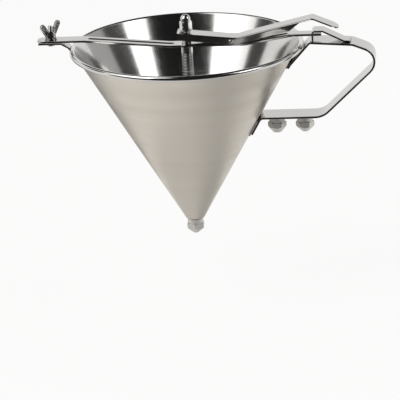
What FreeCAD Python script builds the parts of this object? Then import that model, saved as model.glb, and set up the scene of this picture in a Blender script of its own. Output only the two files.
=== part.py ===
import FreeCAD, Part
import math
import os
import re
import Sketcher

# A dispensing funnel. A thumb lever lifts a sprung stopper off the seat at the small end of its cone.
# The origin is at the tip of the fitted nozzle, +Z is up the cone's axis and +X points at the handle.

# Driving sizes in millimetres and degrees: name, value, what it sets
SIZES = [
    # Cone and rolled rim
    ("rim_height", 181.0, "centre of the rim bead above the nozzle tip"),
    ("bead_ring_radius", 105.9, "cone axis to the centre of the rim bead"),
    ("wire_radius", 1.3, "wire inside the rolled rim"),
    ("wire_gap", 0.3, "wire to the rolled sheet"),
    ("sheet_thickness", 1.0, "sheet that the cone is spun from"),
    ("cone_low_height", 15.3, "lower edge of the cone"),
    ("cone_low_radius", 8.77, "outside of the cone at its lower edge"),
    ("curl_end_angle", 225.0, "where the rolled edge ends, round the wire"),
    # Outlet socket and valve seat
    ("weld_gap", 0.05, "between faces that are welded or soldered"),
    ("socket_top_height", 24.0, "top of the outlet socket"),
    ("seat_height", 18.0, "lower edge of the valve seat"),
    ("seat_angle", 45.0, "valve seat from the vertical"),
    ("bore_radius", 4.0, "bore below the valve seat"),
    ("neck_radius", 7.4, "socket where it leaves the cone"),
    ("neck_low_height", 14.8, "shoulder above the spigot"),
    ("spigot_radius", 5.6, "thread that the nozzles screw on to"),
    ("spigot_length", 6.3, "shoulder to the end of the spigot"),
    # Nozzles
    ("nozzle_length", 14.5, "whole nozzle"),
    ("nozzle_flats", 15.0, "nozzle hexagon across its flats"),
    ("collar_radius", 7.3, "round collar above the hexagon"),
    ("nozzle_collar_length", 4.9, "length of the round collar"),
    ("taper_height", 4.4, "tip to where the taper meets the flats"),
    ("thread_gap", 0.06, "spigot to the nozzle's thread"),
    ("thread_depth", 6.8, "depth of the nozzle's thread"),
    ("tip_land", 3.0, "straight part of the nozzle's bore"),
    ("tip_wall", 0.8, "wall at the tip of the nozzle"),
    ("nozzle_bore", 1.5, "bore radius of the fitted nozzle"),
    ("large_bore", 3.2, "bore radius of the large spare"),
    ("medium_bore", 2.0, "bore radius of the medium spare"),
    ("nozzle_face_gap", 0.3, "nozzle to the shoulder above it"),
    ("stud_shoulder", 0.6, "shoulder of a spare nozzle's stud"),
    ("inner_spare_inset", 43.5, "low bend of the handle back to the inner spare nozzle"),
    ("outer_spare_inset", 17.6, "low bend of the handle back to the outer spare nozzle"),
    # Handle strip
    ("handle_width", 26.0, "handle strip across"),
    ("handle_thickness", 2.0, "handle strip thickness"),
    ("top_foot_depth", 20.0, "lower end of the top foot below the rim"),
    ("top_foot_leave", 17.0, "where the top foot leaves the cone, below the rim"),
    ("arm_reach", 7.7, "rim bead out to where the top arm begins"),
    ("arm_height", 4.4, "start of the top arm above the rim"),
    ("arm_slope", 4.0, "top arm falls away from the rim"),
    ("shoulder_reach", 48.0, "rim bead out to where the top arm turns down"),
    ("shoulder_slope", 22.0, "top arm falls beyond that bend"),
    ("grip_angle", 47.0, "grip from the vertical"),
    ("low_bend_reach", 18.1, "rim bead out to the corner between the grip and the low arm"),
    ("low_arm_depth", 69.0, "underside of the low arm below the rim"),
    ("low_foot_depth", 84.0, "lower end of the low foot below the rim"),
    ("foot_bend", 3.0, "inner radius at the low foot"),
    ("shelf_bend", 5.0, "inner radius at the top foot"),
    ("arm_bend", 2.0, "inner radius at the start of the top arm"),
    ("shoulder_bend", 8.0, "inner radius where the top arm turns down"),
    ("grip_top_bend", 12.0, "inner radius at the top of the grip"),
    ("grip_low_bend", 18.0, "inner radius at the bottom of the grip"),
    # Crossbar
    ("bar_width", 15.5, "crossbar across"),
    ("bar_thickness", 2.0, "crossbar thickness"),
    ("bar_reach", 32.3, "rim bead out to the clamped end"),
    ("bar_bend_inset", 10.9, "rim bead in to the bend at the clamped end"),
    ("bar_seat_left", 16.0, "level seat on the clamped side of the axis"),
    ("bar_seat_right", 54.0, "level seat on the handle side of the axis"),
    ("tongue_bend_inset", 9.9, "rim bead in to the bend at the tongue"),
    ("tongue_inset", 7.9, "rim bead in to where the bar narrows to its tongue"),
    ("tongue_reach", 19.1, "rim bead out to the end of the tongue"),
    ("tongue_width", 12.0, "tongue across"),
    ("bar_tab_height", 10.2, "top of the bar's ends above the rim"),
    ("bar_seat_height", 3.2, "top of the bar's level seat above the rim"),
    ("bar_bend", 10.0, "inner radius of the bar's bends"),
    ("bar_corner", 7.0, "rounding of the clamped end"),
    ("slot_width", 5.0, "slots along the bar"),
    ("left_slot_inset", 14.9, "rim bead in to the slot on the clamped side"),
    ("left_slot_near", 11.5, "near end of the slot on the clamped side"),
    ("right_slot_near", 57.0, "near end of the slot on the handle side"),
    ("right_slot_inset", 11.9, "rim bead in to the slot on the handle side"),
    ("eye_radius", 9.0, "round eye of the bar at the rod"),
    # Keeper strap on the handle
    ("keeper_width", 16.0, "keeper strap across"),
    ("keeper_thickness", 1.6, "keeper strap thickness"),
    ("keeper_reach", 10.1, "rim bead out to the keeper's upright leg"),
    ("keeper_top", 13.6, "top of the keeper above the rim"),
    ("keeper_flat", 10.5, "level part of the keeper"),
    ("keeper_span", 30.0, "upright leg to where the keeper comes down to the arm"),
    ("keeper_foot", 5.5, "length of the keeper's foot"),
    ("keeper_bend", 1.2, "inner radius of the keeper's bends"),
    ("tongue_gap", 0.25, "tongue to its slot in the keeper"),
    # Lug, stud, washer and wing nut
    ("lug_thickness", 1.6, "rim lug thickness"),
    ("lug_width", 13.0, "rim lug across"),
    ("lug_reach", 31.3, "rim bead out to the end of the lug"),
    ("lug_bend_reach", 10.1, "rim bead out to the bend of the lug"),
    ("lug_slope", 31.1, "lug falls to the rim"),
    ("lug_bend", 3.0, "inner radius of the lug's bend"),
    ("clamp_reach", 19.8, "rim bead out to the clamp stud"),
    ("clamp_radius", 2.5, "clamp stud"),
    ("clamp_hole_gap", 0.1, "clamp stud to the holes"),
    ("clamp_top", 23.4, "top of the clamp stud above the rim"),
    ("clamp_head_radius", 4.2, "head of the clamp stud"),
    ("clamp_head_height", 1.8, "head of the clamp stud, below the lug"),
    ("spacer_radius", 4.6, "spacer collar of the clamp stud"),
    ("spacer_height", 0.5, "spacer collar between the lug and the bar"),
    ("washer_radius", 5.8, "clamp washer"),
    ("washer_thickness", 1.0, "clamp washer"),
    ("wing_thread_gap", 0.06, "clamp stud to the wing nut's thread"),
    ("wing_seat_gap", 0.05, "wing nut to its washer"),
    ("hub_low_radius", 5.2, "foot of the wing nut's hub"),
    ("hub_top_radius", 4.2, "top of the wing nut's hub"),
    ("hub_height", 7.2, "wing nut's hub"),
    ("wing_reach", 12.6, "axis to the tip of a wing"),
    ("wing_height", 15.2, "top of the wings above the hub's foot"),
    ("wing_tip_radius", 2.9, "round tip of a wing"),
    ("wing_thickness", 2.2, "wing thickness"),
    ("wing_turn", 52.0, "how far the wings stand turned from the bar"),
    # Rod guide and lever pivot
    ("rod_radius", 3.0, "stopper rod"),
    ("slide_gap", 0.08, "rod to its guide bush"),
    ("bush_radius", 4.5, "bush where it passes through the bar"),
    ("bush_top", 1.8, "bush above the bar"),
    ("bush_flange_radius", 5.3, "body of the bush below the bar"),
    ("bush_flange_height", 7.0, "body of the bush below the bar"),
    ("pivot_x", 41.9, "cone axis to the lever's pivot"),
    ("pivot_rise", 2.4, "pivot pin above the bar"),
    ("pin_radius", 1.2, "pivot pin"),
    ("pin_gap", 0.05, "pivot pin to the lug's hole"),
    ("pin_fit", 0.02, "pivot pin to the lever's holes"),
    ("pin_head_radius", 2.3, "head of the pivot pin"),
    ("pin_head_height", 1.2, "head of the pivot pin"),
    ("pin_end", 1.0, "pin beyond its clip"),
    ("pin_side_gap", 0.1, "pin head and clip to the lever"),
    ("clip_thickness", 0.7, "clip on the pivot pin"),
    ("clip_radius", 2.6, "clip outside"),
    ("clip_groove_radius", 0.85, "bottom of the pin's groove"),
    ("clip_mouth", 1.5, "mouth of the clip"),
    ("pivot_lug_radius", 2.2, "lug round the pivot pin"),
    ("pivot_side_gap", 0.6, "lug to the inside of the lever"),
    ("rivet_radius", 1.6, "rivet through the bar"),
    ("rivet_head_radius", 2.2, "rivet head below the bar"),
    ("rivet_head_height", 1.8, "rivet head below the bar"),
    # Lever
    ("lever_thickness", 1.2, "lever sheet"),
    ("lever_side_gap", 0.3, "lever to the sides of the bar"),
    ("lever_bend_x", 46.0, "cone axis to the lever's bend"),
    ("web_rise", 3.4, "top of the lever's bend above the pivot pin"),
    ("lever_end", 8.0, "cone axis to the lever's short end"),
    ("left_slope", 6.0, "short arm rises from the bend"),
    ("right_slope", 13.3, "long arm rises from the bend"),
    ("peak_reach", 11.2, "rim bead out to the bend at the thumb pad"),
    ("pad_reach", 24.0, "thumb pad along X"),
    ("pad_slope", 23.0, "thumb pad falls away"),
    ("pad_corner", 7.0, "rounding of the pad's corners"),
    ("flange_depth", 6.4, "sides of the channel below its top"),
    ("flange_top_inset", 0.5, "rim bead in to the top end of the channel's sides"),
    ("flange_low_inset", 10.0, "rim bead in to the low end of the channel's sides"),
    ("flange_end_left", 7.2, "short end of the channel's sides"),
    ("lever_bend", 18.0, "radius of the bend near the pivot"),
    ("peak_bend", 4.0, "inner radius of the bend at the pad"),
    ("web_hole_radius", 4.2, "hole for the rod in the lever"),
    # Stopper
    ("seat_gap", 0.3, "plug to its seat, square to the seat"),
    ("plug_low_height", 16.9, "lower end of the plug"),
    ("plug_wide_height", 23.0, "upper end of the plug's cone"),
    ("plug_land", 1.5, "straight rim of the plug"),
    ("plug_neck_radius", 4.6, "neck of the plug round the rod"),
    ("plug_neck_height", 28.5, "foot of the plug's neck"),
    ("plug_top_height", 31.0, "top of the plug"),
    ("rod_low_height", 22.0, "rod's end in the plug"),
    ("rod_fit", 0.02, "rod to the pieces fixed on it"),
    ("spring_length", 30.0, "spring between the bush and its collar"),
    ("spring_end_gap", 0.1, "spring to its seats"),
    ("spring_mean_radius", 4.7, "middle of the spring wire from the axis"),
    ("spring_wire_radius", 0.6, "spring wire"),
    ("spring_turns", 11.0, "turns of the spring"),
    ("ring_radius", 6.4, "spring collar"),
    ("ring_height", 5.0, "spring collar"),
    ("screw_radius", 1.5, "set screw in the spring collar"),
    # Lift washer and nuts on the rod
    ("lift_gap", 0.3, "lift washer to the lever"),
    ("lift_flat_radius", 4.0, "flat under the lift washer"),
    ("lift_radius", 6.0, "lift washer"),
    ("lift_bevel", 1.0, "bevel under the lift washer"),
    ("lift_height", 2.0, "lift washer"),
    ("nut_flats", 10.0, "rod nuts across their flats"),
    ("jam_height", 3.0, "jam nut"),
    ("acorn_hex_height", 4.6, "hexagon of the acorn nut"),
    ("acorn_height", 11.2, "acorn nut"),
    ("acorn_radius", 4.6, "dome of the acorn nut"),
    ("acorn_depth", 8.2, "thread in the acorn nut"),
    ("rod_end_gap", 0.6, "rod's end to the bottom of that thread"),
    ("nut_bevel", 0.6, "bevel at a hexagon's corners"),
]

# Places that follow from the driving sizes: name, formula, what it sets
PLACES = [
    ("cone_rise", "rim_height - cone_low_height", "lower edge of the cone up to the rim bead"),
    ("cone_run", "bead_ring_radius - cone_low_radius", "lower edge of the cone out to the rim bead"),
    ("wall_lean", "atan2(cone_rise; cone_run)", "that line from the level"),
    ("wall_angle", "acos((wire_radius + wire_gap)/sqrt(cone_rise^2 + cone_run^2)) - wall_lean",
     "cone wall from the vertical"),
    ("low_bend_x", "bead_ring_radius + low_bend_reach", "corner between the grip and the low arm"),
    ("inner_spare_x", "low_bend_x - inner_spare_inset", "inner spare nozzle"),
    ("outer_spare_x", "low_bend_x - outer_spare_inset", "outer spare nozzle"),
    ("arm_start_x", "bead_ring_radius + arm_reach", "start of the handle's top arm"),
    ("shoulder_x", "bead_ring_radius + shoulder_reach", "where the top arm turns down"),
    ("bar_left_end", "bead_ring_radius + bar_reach", "clamped end of the bar"),
    ("bar_left_bend", "bead_ring_radius - bar_bend_inset", "bend at the clamped end"),
    ("bar_right_bend", "bead_ring_radius - tongue_bend_inset", "bend at the tongue"),
    ("tongue_start", "bead_ring_radius - tongue_inset", "where the tongue begins"),
    ("tongue_end", "bead_ring_radius + tongue_reach", "where the tongue ends"),
    ("left_slot_far", "bead_ring_radius - left_slot_inset", "far end of the slot on the clamped side"),
    ("right_slot_far", "bead_ring_radius - right_slot_inset", "far end of the slot on the handle side"),
    ("keeper_x", "bead_ring_radius + keeper_reach", "keeper's upright leg"),
    ("keeper_foot_x", "keeper_x + keeper_span", "keeper's foot"),
    ("lug_end", "bead_ring_radius + lug_reach", "end of the lug"),
    ("lug_bend_x", "bead_ring_radius + lug_bend_reach", "bend of the lug"),
    ("clamp_x", "bead_ring_radius + clamp_reach", "clamp stud"),
    ("peak_x", "bead_ring_radius + peak_reach", "bend at the thumb pad"),
    ("flange_end_top", "bead_ring_radius - flange_top_inset", "top end of the channel's sides"),
    ("flange_end_low", "bead_ring_radius - flange_low_inset", "low end of the channel's sides"),
]
SIZE_NAMES = {name for name, value, note in SIZES + PLACES}

doc = FreeCAD.newDocument("dispensing_funnel")
sheet = doc.addObject("Spreadsheet::Sheet", "Sizes")
rows = [(name, str(value), note) for name, value, note in SIZES]
rows += [(name, "=" + formula, note) for name, formula, note in PLACES]
for row, (name, entry, note) in enumerate(rows, start=1):
    sheet.set("A%d" % row, name)
    sheet.set("B%d" % row, entry)
    sheet.setAlias("B%d" % row, name)
    sheet.set("C%d" % row, note)
doc.recompute()

UP = FreeCAD.Vector(0, 0, 1)
MATCH = 0.01


# Formulas of the sheet's sizes

def bound(formula):
    """Name the sheet in front of each size, so that any object can use the formula."""
    def named(word):
        return "Sizes." + word.group() if word.group() in SIZE_NAMES else word.group()
    return re.sub(r"[A-Za-z_]\w*", named, formula)


def number(formula):
    return float(sheet.evalExpression(bound(formula)))


def spot(corner):
    return FreeCAD.Vector(number(corner[0]), number(corner[1]), 0)


def bind(thing, path, formula):
    thing.setExpression(path, bound(formula))


# Sketches

def new_body(label):
    body = doc.addObject("PartDesign::Body", label)
    body.Label = label
    return body


def origin_item(body, role):
    return next(item for item in body.Origin.OriginFeatures if item.Role == role)


def new_sketch(body, name, plane, height=None):
    sketch = body.newObject("Sketcher::SketchObject", name)
    sketch.AttachmentSupport = [(origin_item(body, plane), "")]
    sketch.MapMode = "FlatFace"
    if height:
        bind(sketch, "AttachmentOffset.Base.z", height)
    return sketch


def constrain(sketch, formula, kind, *items):
    row = sketch.addConstraint(Sketcher.Constraint(kind, *items, number(formula)))
    bind(sketch, "Constraints[%d]" % row, formula)


def fix_point(sketch, item, end, corner, ways="XY"):
    """Hold a point of a line, arc or circle at two formulas. A plain 0 lies on the axis."""
    for way, axis, formula in (("X", -2, corner[0]), ("Y", -1, corner[1])):
        if way not in ways:
            continue
        if formula == "0":
            sketch.addConstraint(Sketcher.Constraint("PointOnObject", item, end, axis))
        else:
            constrain(sketch, formula, "Distance" + way, -1, 1, item, end)


def draw_outline(sketch, corners, arcs=None):
    """Draw a closed outline. arcs gives a side's centre, radius and turn: 1 is anticlockwise."""
    arcs = arcs or {}
    count = len(corners)
    spots = [spot(corner) for corner in corners]
    sides = []
    for side in range(count):
        first = spots[side]
        last = spots[(side + 1) % count]
        if side in arcs:
            centre, radius, turn = arcs[side]
            circle = Part.Circle(spot(centre), UP, number(radius))
            ends = (first, last) if turn > 0 else (last, first)
            arc = Part.ArcOfCircle(circle, circle.parameter(ends[0]), circle.parameter(ends[1]))
            item = sketch.addGeometry(arc)
            sides.append((item, 1, 2) if turn > 0 else (item, 2, 1))
        else:
            item = sketch.addGeometry(Part.LineSegment(first, last))
            sides.append((item, 1, 2))
    for side, corner in enumerate(corners):
        item, start, end = sides[side]
        after, after_start, after_end = sides[(side + 1) % count]
        sketch.addConstraint(Sketcher.Constraint("Coincident", item, end, after, after_start))
        fix_point(sketch, item, start, corner)
    for side, (centre, radius, turn) in arcs.items():
        chord = spots[(side + 1) % count] - spots[side]
        fix_point(sketch, sides[side][0], 3, centre, "X" if abs(chord.y) > abs(chord.x) else "Y")


def draw_circle(sketch, centre, radius):
    item = sketch.addGeometry(Part.Circle(spot(centre), UP, number(radius)))
    fix_point(sketch, item, 3, centre)
    constrain(sketch, radius, "Radius", item)


def draw_rectangle(sketch, left, right, low, high):
    draw_outline(sketch, [(left, low), (right, low), (right, high), (left, high)])


def draw_slot(sketch, left, right, width):
    """Draw a slot with round ends, between two formulas along X."""
    half = "%s/2" % width
    left_centre = "%s + %s" % (left, half)
    right_centre = "%s - %s" % (right, half)
    corners = [(left_centre, "-" + half), (right_centre, "-" + half),
               (right_centre, half), (left_centre, half)]
    arcs = {1: ((right_centre, "0"), half, 1), 3: ((left_centre, "0"), half, 1)}
    draw_outline(sketch, corners, arcs)


def draw_hexagon(sketch, flats):
    """Draw a hexagon with two corners on the X axis."""
    corner = "%s/sqrt(3)" % flats
    half = corner + "/2"
    flat = "%s/2" % flats
    draw_outline(sketch, [(corner, "0"), (half, flat), ("-" + half, flat),
                          ("-" + corner, "0"), ("-" + half, "-" + flat), (half, "-" + flat)])


# Features

def revolve(body, name, kind, corners, arcs=None):
    sketch = new_sketch(body, name + "_outline", "XZ_Plane")
    draw_outline(sketch, corners, arcs)
    turn = body.newObject("PartDesign::" + kind, name)
    turn.Profile = sketch
    turn.ReferenceAxis = (origin_item(body, "Z_Axis"), [""])
    turn.Angle = 360
    return turn


def turned(label, corners, arcs=None):
    """Make a turned piece from its outline in radius and height."""
    body = new_body(label)
    revolve(body, label + "_turned", "Revolution", corners, arcs)
    return body


def turn_away(body, name, corners):
    """Turn metal away, and make sure that some went."""
    doc.recompute()
    before = body.Shape.Volume
    revolve(body, name, "Groove", corners)
    doc.recompute()
    assert body.Shape.Volume < before, name + " cut nothing"


def pad(body, sketch, name, length, symmetric=False):
    feature = body.newObject("PartDesign::Pad", name)
    feature.Profile = sketch
    if symmetric:
        feature.SideType = "Symmetric"
    bind(feature, "Length", length)
    return feature


def cut(body, sketch, name, width=None):
    """Cut both ways from the sketch's plane, right through or to a whole width."""
    doc.recompute()
    before = body.Shape.Volume
    feature = body.newObject("PartDesign::Pocket", name)
    feature.Profile = sketch
    feature.SideType = "Symmetric"
    if width:
        bind(feature, "Length", width)
    else:
        feature.Type = "ThroughAll"
    doc.recompute()
    assert body.Shape.Volume < before, name + " cut nothing"


def round_edges(body, name, radius, chosen):
    """Round every edge of the body that the test chooses."""
    doc.recompute()
    tip = body.Tip
    names = ["Edge%d" % place for place, edge in enumerate(tip.Shape.Edges, start=1) if chosen(edge)]
    assert names, name + " found no edge"
    fillet = body.newObject("PartDesign::Fillet", name)
    fillet.Base = (tip, names)
    bind(fillet, "Radius", radius)


def across_at(corner):
    """Choose the edges that run along Y through one corner of a side outline."""
    def chosen(edge):
        ends = [vertex.Point for vertex in edge.Vertexes]
        return len(ends) == 2 and all(math.hypot(end.x - corner.x, end.z - corner.y) < MATCH for end in ends)
    return chosen


def offset_corners(spots, distance):
    """Shift a chain of points to its left, with mitred corners."""
    ways = [(spots[step + 1] - spots[step]).normalize() for step in range(len(spots) - 1)]
    lefts = [FreeCAD.Vector(-way.y, way.x, 0) for way in ways]
    shifted = []
    for place, point in enumerate(spots):
        before = lefts[max(place - 1, 0)]
        after = lefts[min(place, len(lefts) - 1)]
        shifted.append(point + (before + after) * (distance / (1 + before.dot(after))))
    return shifted


def draw_chain(sketch, spots, radii):
    """Draw a run of lines with touching arcs at its corners, and return the lines."""
    runs = len(spots) - 1
    ways = [(spots[run + 1] - spots[run]).normalize() for run in range(runs)]
    starts = spots[:-1]
    ends = spots[1:]
    bends = []
    for bend, radius in enumerate(radii, start=1):
        before = ways[bend - 1]
        after = ways[bend]
        turn = math.copysign(1, before.cross(after).z)
        reach = number(radius) * math.tan(before.getAngle(after) / 2)
        ends[bend - 1] = spots[bend] - before * reach
        starts[bend] = spots[bend] + after * reach
        centre = ends[bend - 1] + FreeCAD.Vector(-before.y, before.x, 0) * (turn * number(radius))
        bends.append((turn, centre, radius))
    lines = [sketch.addGeometry(Part.LineSegment(starts[run], ends[run])) for run in range(runs)]
    for bend, (turn, centre, radius) in enumerate(bends):
        circle = Part.Circle(centre, UP, number(radius))
        places = [circle.parameter(ends[bend]), circle.parameter(starts[bend + 1])]
        first, last = (1, 2) if turn > 0 else (2, 1)
        arc = sketch.addGeometry(Part.ArcOfCircle(circle, places[first - 1], places[last - 1]))
        sketch.addConstraint(Sketcher.Constraint("Tangent", lines[bend], 2, arc, first))
        sketch.addConstraint(Sketcher.Constraint("Tangent", lines[bend + 1], 1, arc, last))
        constrain(sketch, radius, "Radius", arc)
    return lines


def bent_strip(label, corners, side, thickness, width, radii):
    """Bend a strip. corners lie on one face, the other face is on that side of it: 1 is left."""
    body = new_body(label)
    sketch = new_sketch(body, label + "_edge", "XZ_Plane")
    face = [spot(corner) for corner in corners]
    back = offset_corners(face, side * number(thickness))
    runs = len(corners) - 1
    face_radii = []
    back_radii = []
    for bend, radius in enumerate(radii, start=1):
        turn = (face[bend] - face[bend - 1]).cross(face[bend + 1] - face[bend]).z
        outer = "%s + %s" % (radius, thickness)
        face_radii.append(outer if turn * side > 0 else radius)
        back_radii.append(radius if turn * side > 0 else outer)
    face_lines = draw_chain(sketch, face, face_radii)
    back_lines = draw_chain(sketch, back, back_radii)
    fix_point(sketch, face_lines[0], 1, corners[0])
    fix_point(sketch, face_lines[-1], 2, corners[-1])
    for bend in range(1, runs):
        corner = sketch.addGeometry(Part.Point(face[bend]), True)
        fix_point(sketch, corner, 1, corners[bend])
        for line in face_lines[bend - 1:bend + 1]:
            sketch.addConstraint(Sketcher.Constraint("PointOnObject", corner, 1, line))
    for face_line, back_line in zip(face_lines, back_lines):
        sketch.addConstraint(Sketcher.Constraint("Parallel", face_line, back_line))
        constrain(sketch, thickness, "Distance", back_line, 1, face_line)
    for run, end in ((0, 1), (runs - 1, 2)):
        points = [chain[0] if end == 1 else chain[-1] for chain in (face, back)]
        cap = sketch.addGeometry(Part.LineSegment(points[0], points[1]))
        sketch.addConstraint(Sketcher.Constraint("Coincident", cap, 1, face_lines[run], end))
        sketch.addConstraint(Sketcher.Constraint("Coincident", cap, 2, back_lines[run], end))
        sketch.addConstraint(Sketcher.Constraint("Perpendicular", cap, face_lines[run]))
    pad(body, sketch, label + "_strip", width, symmetric=True)
    return body


def place(body, x="0", z="0", yaw=None):
    for axis, formula in (("x", x), ("z", z)):
        if formula != "0":
            bind(body, "Placement.Base." + axis, formula)
    if yaw:
        body.Placement.Rotation = FreeCAD.Rotation(UP, number(yaw))


# Lines that several pieces share

ROLL_INSIDE = "(wire_radius + wire_gap)"
ROLL_OUTSIDE = "(wire_radius + wire_gap + sheet_thickness)"


def cone_outside(height):
    """Radius of the cone's outer face at a height from the rim."""
    return "bead_ring_radius - %s/cos(wall_angle) + (%s)*tan(wall_angle)" % (ROLL_INSIDE, height)


def cone_inside(height):
    return "bead_ring_radius - %s/cos(wall_angle) + (%s)*tan(wall_angle)" % (ROLL_OUTSIDE, height)


def arm_top(x):
    """Height of the handle's top arm above the rim."""
    return "arm_height - (%s - arm_start_x)*tan(arm_slope)" % x


BAR_UNDER = "(bar_seat_height - bar_thickness)"
TAB_UNDER = "(bar_tab_height - bar_thickness)"
LUG_TOP = "(%s - spacer_height)" % TAB_UNDER
PIVOT_HEIGHT = "(bar_seat_height + pivot_rise)"
WEB_BEND = "(%s + web_rise)" % PIVOT_HEIGHT
LEVER_INSIDE = "(bar_width + 2*lever_side_gap)"
LEVER_OUTSIDE = "(%s + 2*lever_thickness)" % LEVER_INSIDE
SPRING_TOP = "(%s - bush_flange_height)" % BAR_UNDER
SPRING_FOOT = "(%s - spring_length)" % SPRING_TOP
LIFT_FOOT = "(%s + (lever_bend_x + web_hole_radius)*tan(left_slope) + lift_gap)" % WEB_BEND
JAM_FOOT = "(%s + lift_height)" % LIFT_FOOT
ACORN_FOOT = "(%s + jam_height)" % JAM_FOOT


# Cone with its rolled rim, and the wire in the roll

def make_cone():
    low = "cone_low_height"
    below = "cone_low_height - rim_height"
    foot = [(cone_inside(below), low), (cone_outside(below), low)]
    roll = []
    for radius in (ROLL_INSIDE, ROLL_OUTSIDE):
        wall = ("bead_ring_radius - %s*cos(wall_angle)" % radius, "rim_height + %s*sin(wall_angle)" % radius)
        end = ("bead_ring_radius + %s*cos(curl_end_angle)" % radius,
               "rim_height + %s*sin(curl_end_angle)" % radius)
        roll.append((wall, end))
    centre = ("bead_ring_radius", "rim_height")
    corners = foot + [roll[0][0], roll[0][1], roll[1][1], roll[1][0]]
    arcs = {2: (centre, ROLL_INSIDE, -1), 4: (centre, ROLL_OUTSIDE, 1)}
    turned("funnel_cone", corners, arcs)
    wire = doc.addObject("Part::Torus", "rim_wire")
    wire.Label = "rim_wire"
    bind(wire, "Radius1", "bead_ring_radius")
    bind(wire, "Radius2", "wire_radius")
    bind(wire, "Placement.Base.z", "rim_height")


# Outlet socket with the valve seat and the spigot

def make_socket():
    low = "cone_low_height - rim_height"
    top = "socket_top_height - rim_height"
    seat_edge = "bore_radius + (socket_top_height - seat_height)*tan(seat_angle)"
    turned("outlet_socket", [
        ("bore_radius", "neck_low_height - spigot_length"),
        ("spigot_radius", "neck_low_height - spigot_length"),
        ("spigot_radius", "neck_low_height"),
        ("neck_radius", "neck_low_height"),
        ("neck_radius", "cone_low_height"),
        (cone_inside(low) + " - weld_gap/cos(wall_angle)", "cone_low_height"),
        (cone_inside(top) + " - weld_gap/cos(wall_angle)", "socket_top_height"),
        (seat_edge, "socket_top_height"),
        ("bore_radius", "seat_height")])


# Cap nozzles: a hexagon with a turned collar and a taper, on a stepped bore

def make_nozzle(label, bore):
    body = new_body(label)
    hexagon = new_sketch(body, label + "_hexagon", "XY_Plane")
    draw_hexagon(hexagon, "nozzle_flats")
    pad(body, hexagon, label + "_bar", "nozzle_length")
    tip = "(%s + tip_wall)" % bore
    slope = "((nozzle_flats/2 - %s)/taper_height)" % tip
    clear = "nozzle_flats"
    turn_away(body, label + "_taper", [
        (tip, "0"), (clear, "0"), (clear, "(%s - %s)/%s" % (clear, tip, slope))])
    collar_foot = "nozzle_length - nozzle_collar_length"
    turn_away(body, label + "_collar", [
        ("collar_radius", collar_foot), (clear, collar_foot),
        (clear, "nozzle_length"), ("collar_radius", "nozzle_length")])
    thread = "spigot_radius + thread_gap"
    thread_foot = "nozzle_length - thread_depth"
    turn_away(body, label + "_bore", [
        ("0", "0"), (bore, "0"), (bore, "tip_land"), (thread, thread_foot),
        (thread, "nozzle_length"), ("0", "nozzle_length")])
    return body


def make_nozzles():
    fitted = make_nozzle("nozzle", "nozzle_bore")
    place(fitted, yaw="90")
    drop = "rim_height - low_arm_depth - stud_shoulder"
    spares = (("large", "inner_spare_x", "large_bore"), ("medium", "outer_spare_x", "medium_bore"))
    for word, x, bore in spares:
        spare = make_nozzle("spare_nozzle_" + word, bore)
        place(spare, x, "%s - nozzle_face_gap - nozzle_length" % drop)
    for word, x in (("inner", "inner_spare_x"), ("outer", "outer_spare_x")):
        stud = turned("spare_stud_" + word, [
            ("0", "-spigot_length"), ("spigot_radius", "-spigot_length"), ("spigot_radius", "0"),
            ("neck_radius", "0"), ("neck_radius", "stud_shoulder - weld_gap"),
            ("0", "stud_shoulder - weld_gap")])
        place(stud, x, drop)


# Handle: one strip from the top foot round the grip to the low foot

def make_handle():
    shoulder_z = arm_top("shoulder_x")
    along = "low_bend_x + low_arm_depth*tan(grip_angle) - shoulder_x"
    fall = "(%s)*tan(shoulder_slope)" % along
    corner_z = "(%s - %s)/(1 + tan(grip_angle)*tan(shoulder_slope))" % (shoulder_z, fall)
    corner_x = "low_bend_x + (%s + low_arm_depth)*tan(grip_angle)" % corner_z
    top_face = " + weld_gap/cos(wall_angle)"
    low_face = " + (weld_gap + handle_thickness)/cos(wall_angle)"
    corners = [
        (cone_outside("-top_foot_depth") + top_face, "-top_foot_depth"),
        (cone_outside("-top_foot_leave") + top_face, "-top_foot_leave"),
        ("arm_start_x", "arm_height"),
        ("shoulder_x", shoulder_z),
        (corner_x, corner_z),
        ("low_bend_x", "-low_arm_depth"),
        (cone_outside("-low_arm_depth") + low_face, "-low_arm_depth"),
        (cone_outside("-low_foot_depth") + low_face, "-low_foot_depth")]
    radii = ["shelf_bend", "arm_bend", "shoulder_bend", "grip_top_bend", "grip_low_bend", "foot_bend"]
    handle = bent_strip("handle", corners, -1, "handle_thickness", "handle_width", radii)
    place(handle, z="rim_height")


# Keeper: a strap on the handle, with a slot for the bar's tongue

def make_keeper():
    flat_end = "keeper_x + keeper_flat"
    foot_end = "keeper_foot_x + keeper_foot"
    rise = "keeper_thickness + weld_gap"
    corners = [
        ("keeper_x", arm_top("keeper_x") + " + weld_gap"),
        ("keeper_x", "keeper_top"),
        (flat_end, "keeper_top"),
        ("keeper_foot_x", arm_top("keeper_foot_x") + " + " + rise),
        (foot_end, arm_top("(%s)" % foot_end) + " + " + rise)]
    keeper = bent_strip("keeper", corners, -1, "keeper_thickness", "keeper_width", ["keeper_bend"] * 3)
    slot = new_sketch(keeper, "keeper_slot", "YZ_Plane", "keeper_x + keeper_thickness/2")
    half = "tongue_width/2 + tongue_gap"
    draw_rectangle(slot, "-(%s)" % half, half, TAB_UNDER + " - tongue_gap", "bar_tab_height + tongue_gap")
    cut(keeper, slot, "keeper_slot_cut", "3*keeper_thickness")
    place(keeper, z="rim_height")


# Lug on the rim, with the stud, washer and wing nut that clamp the bar

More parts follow.
